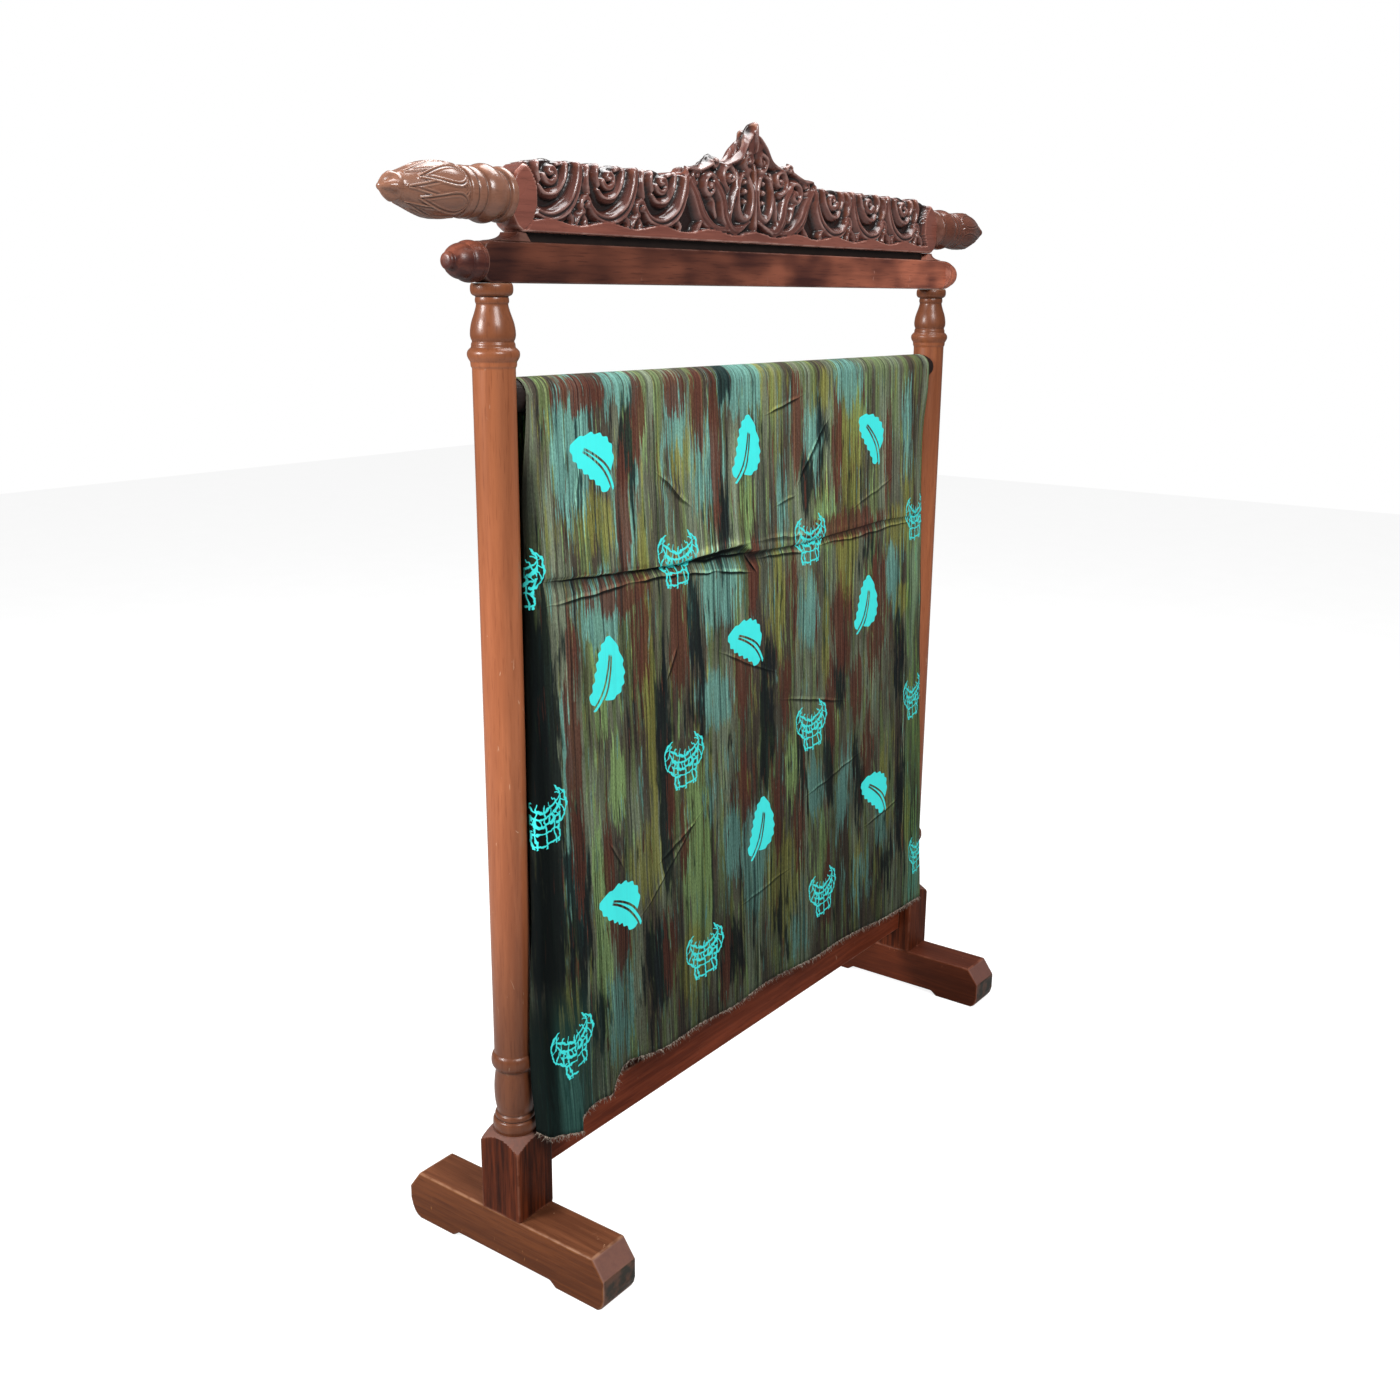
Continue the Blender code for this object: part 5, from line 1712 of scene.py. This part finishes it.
# Start, end, half width and strength; its dark side is on the right of the way from start to end
CREASE_LINES = [
    ((-0.56, 1.05), (-0.356, 1.0385), 0.0034, 1.0), ((-0.4, 1.043), (-0.25, 1.031), 0.0034, 1.0),
    ((-0.56, 1.014), (-0.33, 1.0215), 0.005, 0.9), ((-0.37, 1.0215), (-0.216, 1.0169), 0.005, 0.95),
    ((-0.26, 1.0185), (-0.13, 1.0053), 0.0046, 0.95), ((-0.16, 1.0075), (-0.04, 0.9915), 0.0046, 0.95),
    ((-0.245, 1.033), (-0.02, 1.0262), 0.0048, 1.0), ((-0.06, 1.03), (-0.03, 0.986), 0.005, 1.0),
    ((-0.24, 1.036), (-0.05, 1.045), 0.012, 0.9), ((-0.06, 1.044), (0.2, 1.03), 0.007, 0.6),
    ((-0.04, 1.012), (0.14, 1.006), 0.0044, 0.85), ((0.1, 1.008), (0.56, 1.016), 0.004, 0.75),
    ((-0.3, 1.18), (-0.2, 1.112), 0.0056, 0.7), ((-0.01, 1.246), (0.12, 1.272), 0.0044, 0.85),
    ((0.08, 1.112), (0.206, 1.24), 0.0056, 0.85), ((-0.48, 1.12), (-0.466, 1.206), 0.004, 0.7),
    ((-0.33, 0.56), (-0.206, 0.612), 0.005, 0.8), ((-0.395, 0.476), (-0.18, 0.64), 0.0044, 0.7),
    ((0.02, 0.762), (0.262, 0.704), 0.005, 0.75), ((0.08, 0.556), (0.332, 0.602), 0.0044, 0.7),
    ((-0.16, 0.882), (0.04, 0.8), 0.0044, 0.7), ((-0.29, 0.846), (-0.25, 0.912), 0.005, 0.8),
    ((0.02, 1.09), (0.09, 1.11), 0.0044, 0.7), ((0.26, 1.06), (0.44, 1.11), 0.0044, 0.6),
    ((-0.44, 0.64), (-0.4, 0.58), 0.0044, 0.7), ((0.3, 0.44), (0.47, 0.47), 0.0044, 0.7),
    ((0.474, 0.2), (0.476, 0.98), 0.006, 0.8), ((-0.12, 0.42), (0.08, 0.44), 0.0044, 0.6),
]
print("group:", CREASE_LINE.name, "for", len(CREASE_LINES), "creases")

# %% Material of the cloth
TAUPE = (0.134, 0.16, 0.108)
BROWN = (0.048, 0.038, 0.029)
TEAL = (0.104, 0.24, 0.206)
RED_BROWN = (0.078, 0.028, 0.019)
NAVY = (0.005, 0.009, 0.011)
# Near black, used only as painted shade: the shadowed left margin, the edge by the post and the thin
# creases.
SHADE_BLACK = (0.0015, 0.003, 0.003)
OCHRE = (0.18, 0.178, 0.04)
GREEN = (0.182, 0.285, 0.105)
OLIVE = (0.1, 0.137, 0.052)
DEEP_GREEN = (0.01, 0.048, 0.04)
TURQUOISE = (0.065, 0.86, 0.83)
WARP_STEP = 0.00045
WEFT_STEP = 0.0005

cotton, chain, shader = new_material("batik_cotton", Specular_IOR_Level=0.07)
flat = chain.out("ShaderNodeUVMap", "UV", {"uv_map": "flat"})
flat_x, flat_y, _ = chain.parts(flat)


def stored(name, output="Fac"):
    return chain.out("ShaderNodeAttribute", output, {"attribute_name": name})


def streaks(per_metre, along, seed, detail=3.0, roughness=0.6):
    return chain.noise(chain.joined(flat_x * per_metre, flat_y * along, seed), 1.0, detail, roughness)


def dye(name, colour, tint, strength, seed, **settings):
    """Lays one dye over the colour, where its patches and its streaks say."""
    mask = chain.group(RAGGED, Flat=flat, Amount=stored(name), Seed=seed, **settings)["Mask"]
    return chain.mix(mask * strength, colour, tint)


def area(across, height):
    """A share that fades between two places across and two heights."""
    return chain.span(flat_x, *across) * chain.span(flat_y, *height)


fine = streaks(230.0, 4.0, 2.0, 3.0, 0.7)
colour = chain.mix(chain.span(streaks(14.0, 2.0, 1.0, 2.0), 0.36, 0.6), TAUPE, BROWN)
colour = chain.mix(chain.span(streaks(60.0, 2.6, 5.0, 2.0), 0.5, 0.62, 0.0, 0.75), colour, OLIVE)
colour = chain.mix(chain.span(streaks(85.0, 3.0, 9.0), 0.54, 0.62, 0.0, 0.6), colour, BROWN)
colour = dye("green", colour, GREEN, 0.75, 61.0, Soft=0.12)
colour = dye("ochre", colour, OCHRE, 0.66, 37.0, Threads=190.0, Soft=0.16)
colour = dye("teal", colour, TEAL, 0.85, 11.0, Threads=280.0)
colour = dye("dark", colour, NAVY, 0.9, 51.0, Threads=120.0, Soft=0.16)
colour = dye("red", colour, RED_BROWN, 0.9, 23.0, Threads=260.0, Soft=0.03)
colour = chain.mix(chain.span(streaks(150.0, 1.5, 17.0, 2.0), 0.57, 0.64, 0.0, 0.62), colour, NAVY)
pale_streaks = chain.span(streaks(190.0, 1.3, 29.0, 2.0), 0.6, 0.66, 0.0, 0.55)
colour = chain.tinted(pale_streaks, colour, (1.9, 2.0, 1.9))
grit = streaks(620.0, 190.0, 4.0, 3.0, 0.75)
shade = chain.span(fine, 0.32, 0.68, 0.46, 1.46, smooth=False)
shade = shade * chain.span(grit, 0.3, 0.7, 0.62, 1.38, smooth=False)
colour = chain.shaded(colour, shade * chain.span(flat_y, 0.2, 1.25, 0.62, 1.42))
# The stored crease paints a highlight along the storage crease's lip and, in navy, shade in the hollow under
# it.
crease = stored("crease")
colour = chain.tinted(chain.most(crease, 0.0), colour, (1.75, 1.7, 1.65))
colour = chain.mix(chain.span(crease, 0.0, -1.0, 0.0, 0.88, smooth=False), colour, NAVY)
# Painted shade: the turned-back left margin, which lies in the shadow beside the post, goes near black.
margin = area((-0.535, -0.575), (1.27, 1.18)) * chain.span(flat_y, 0.42, 0.48)
colour = chain.mix(margin * 0.86, colour, SHADE_BLACK)
colour = chain.tinted(area((0.474, 0.48), (1.02, 0.98)), colour, (1.15, 1.45, 1.25))
colour = chain.mix(area((-0.45, -0.53), (0.46, 0.36)) * 0.62, colour, DEEP_GREEN)
# Painted shade: the tail's left edge beside the post goes near black.
colour = chain.mix(area((-0.566, -0.59), (0.5, 0.4)) * 0.88, colour, SHADE_BLACK)
# Each thin crease is painted as a line of shade beside a painted highlight.
for line_start, line_end, line_width, strength in CREASE_LINES:
    line = chain.group(
        CREASE_LINE, Flat=flat, Start=(*line_start, 0.0), End=(*line_end, 0.0), Width=line_width,
    )
    colour = chain.mix(line["Dark"] * strength, colour, SHADE_BLACK)
    colour = chain.tinted(line["Pale"] * (strength * 0.8), colour, (2.1, 2.05, 1.9))

leaf_place = stored("leaf_place", "Vector")
breadth = chain.span(chain.parts(leaf_place)[2], -1.0, 1.0, 0.041, 0.039, smooth=False)
leaf_mark = chain.group(LEAF_STAMP, Place=leaf_place, Breadth=breadth)
head_mark = chain.group(HEAD_STAMP, Place=stored("head_place", "Vector"))
paint = chain.most(leaf_mark["Leaf"] * (1.0 - leaf_mark["Rib"]), head_mark["Lines"] * 0.92)
colour = chain.mix(paint * chain.span(fine, 0.25, 0.5, 0.9, 1.0), colour, TURQUOISE)

warp = chain.math("SINE", flat_x * (math.tau / WARP_STEP))
weft = chain.math("SINE", flat_y * (math.tau / WEFT_STEP))
crumple = chain.noise(chain.joined(flat_x, flat_y, 3.0), 26.0, 4.0, 0.6)
chain.bumped(shader, warp * weft * 0.05 + crumple + fine * 0.12, 0.35, 0.003)
chain.put(shader.inputs["Base Color"], colour)
chain.put(shader.inputs["Roughness"], chain.span(fine, 0.3, 0.7, 0.7, 0.86, smooth=False))
print("cotton:", len(cotton.node_tree.nodes), "nodes")

# %% Sheet of the cloth
CLOTH_THICK = 0.0006
cloth = new_piece("batik_cloth", cloth_points, cloth_faces, cotton)
uv_map = cloth.data.uv_layers.new(name="flat")
loop_points = np.empty(len(cloth.data.loops), int)
cloth.data.loops.foreach_get("vertex_index", loop_points)
uv_map.uv.foreach_set("vector", cloth_flat[loop_points].astype(np.float32).ravel())
for index, name in enumerate(DYES):
    store(cloth, name, dye_amounts[:, index])
store(cloth, "crease", crease_shade())
store(cloth, "leaf_place", leaf_places)
store(cloth, "head_place", head_places)
thickness = cloth.modifiers.new("thickness", "SOLIDIFY")
thickness.thickness = CLOTH_THICK
thickness.offset = 0.0
thickness.use_even_offset = False
settled_piece(cloth)
finish_piece(cloth, "batik_cotton", "cloth")

# %% [markdown]
# ## Frayed hems
# The length was cut or torn and never hemmed, so single threads stand out of both ends. They
# are made with Geometry Nodes: points are scattered on each hem line, and a thin tapering
# thread is set on every point, turned and scaled at random with a fixed seed.

# %% Material of the threads
thread_material, chain, shader = new_material("frayed_thread", Roughness=0.85)
tint = chain.span(chain.noise(chain.place(), 260.0), 0.4, 0.62)
chain.put(shader.inputs["Base Color"], chain.mix(tint, (0.06, 0.032, 0.026), (0.46, 0.38, 0.3)))

# %% Geometry Nodes tree for a frayed edge
fray, entry, leave = new_group(
    "frayed_edge",
    [
        ("Geometry", "Geometry"), ("Threads", "Int", 600), ("Length", "Float", 0.006),
        ("Thickness", "Float", 0.00055), ("Seed", "Int", 3),
    ],
    [("Geometry", "Geometry")], "GeometryNodeTree",
)


def random_vector(low, high):
    return fray.out(
        "FunctionNodeRandomValue", "Value", {"data_type": "FLOAT_VECTOR"},
        Min=low, Max=high, Seed=entry["Seed"],
    )


hem_curve = fray.out("GeometryNodeMeshToCurve", "Curve", Mesh=entry["Geometry"])
hem_points = fray.out(
    "GeometryNodeCurveToPoints", "Points", {"mode": "COUNT"}, Curve=hem_curve, Count=entry["Threads"],
)
thread = fray.out(
    "GeometryNodeMeshCone", "Mesh", Vertices=3, Side_Segments=3,
    Radius_Bottom=entry["Thickness"], Depth=entry["Length"],
)
hanging = random_vector((math.pi - 0.75, -0.75, 0.0), (math.pi + 0.75, 0.75, math.tau))
thread_size = random_vector((0.7, 0.7, 0.3), (1.2, 1.2, 1.6))
threads = fray.out(
    "GeometryNodeInstanceOnPoints", "Instances",
    Points=hem_points, Instance=thread, Rotation=hanging, Scale=thread_size,
)
threads = fray.out("GeometryNodeRealizeInstances", "Geometry", Geometry=threads)
fray.put(leave["Geometry"], fray.out(
    "GeometryNodeSetMaterial", "Geometry", Geometry=threads, Material=thread_material,
))
FRAY = fray.tree
FRAY_INPUTS = {item.name: item.identifier for item in FRAY.interface.items_tree if item.in_out == "INPUT"}
print("tree inputs:", list(FRAY_INPUTS))

# %% Threads on both hems


def fray_hem(name, points, **values):
    obj = new_piece(name, points, [], None, edges=[(i, i + 1) for i in range(len(points) - 1)])
    modifier = obj.modifiers.new("fray", "NODES")
    modifier.node_group = FRAY
    for key, value in values.items():
        modifier[FRAY_INPUTS[key]] = value
    return finish_piece(settled_piece(obj), "batik_cotton")


front_fray = fray_hem("fray_front", rows[0, :, :3], Threads=1700, Length=0.0085, Seed=5)
rear_fray = fray_hem("fray_rear", rows[-1, :, :3], Threads=1100, Length=0.005, Seed=9)

# %% [markdown]
# ## The rod and the floor
# The rod and the filler strip are plain, and their solids are already right, so they only get
# a near-black wood as painted shade, because both lie in shadow. The floor is a pale sheet that
# belongs to the studio, not to the rack.

# %% Rod, filler strip and floor
# Painted shade: both pieces get the near-black shadow_wood.
for node in ("cloth_rod", "filler_strip"):
    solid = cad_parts[node]
    solid.data.materials.clear()
    solid.data.materials.append(MATERIALS["shadow_wood"])

floor_material, chain, shader = new_material("pale_floor", Roughness=0.7, Emission_Color=(1.0, 1.0, 1.0))
speckle = chain.span(chain.noise(chain.place(), 6.0, 3.0), 0.3, 0.7)
chain.put(shader.inputs["Base Color"], chain.mix(speckle, (0.34, 0.34, 0.34), (0.37, 0.37, 0.37)))
seen = chain.out("ShaderNodeLightPath", "Is Camera Ray")
chain.put(shader.inputs["Emission Strength"], chain.span(seen, 0.0, 1.0, 0.05, 0.86, smooth=False))
FLOOR_HALF = 9
floor_corners = [(-FLOOR_HALF, -FLOOR_HALF, 0), (FLOOR_HALF, -FLOOR_HALF, 0),
                 (FLOOR_HALF, FLOOR_HALF, 0), (-FLOOR_HALF, FLOOR_HALF, 0)]
floor = new_piece("floor", floor_corners, [(0, 1, 2, 3)], floor_material, False)
print("floor laid")
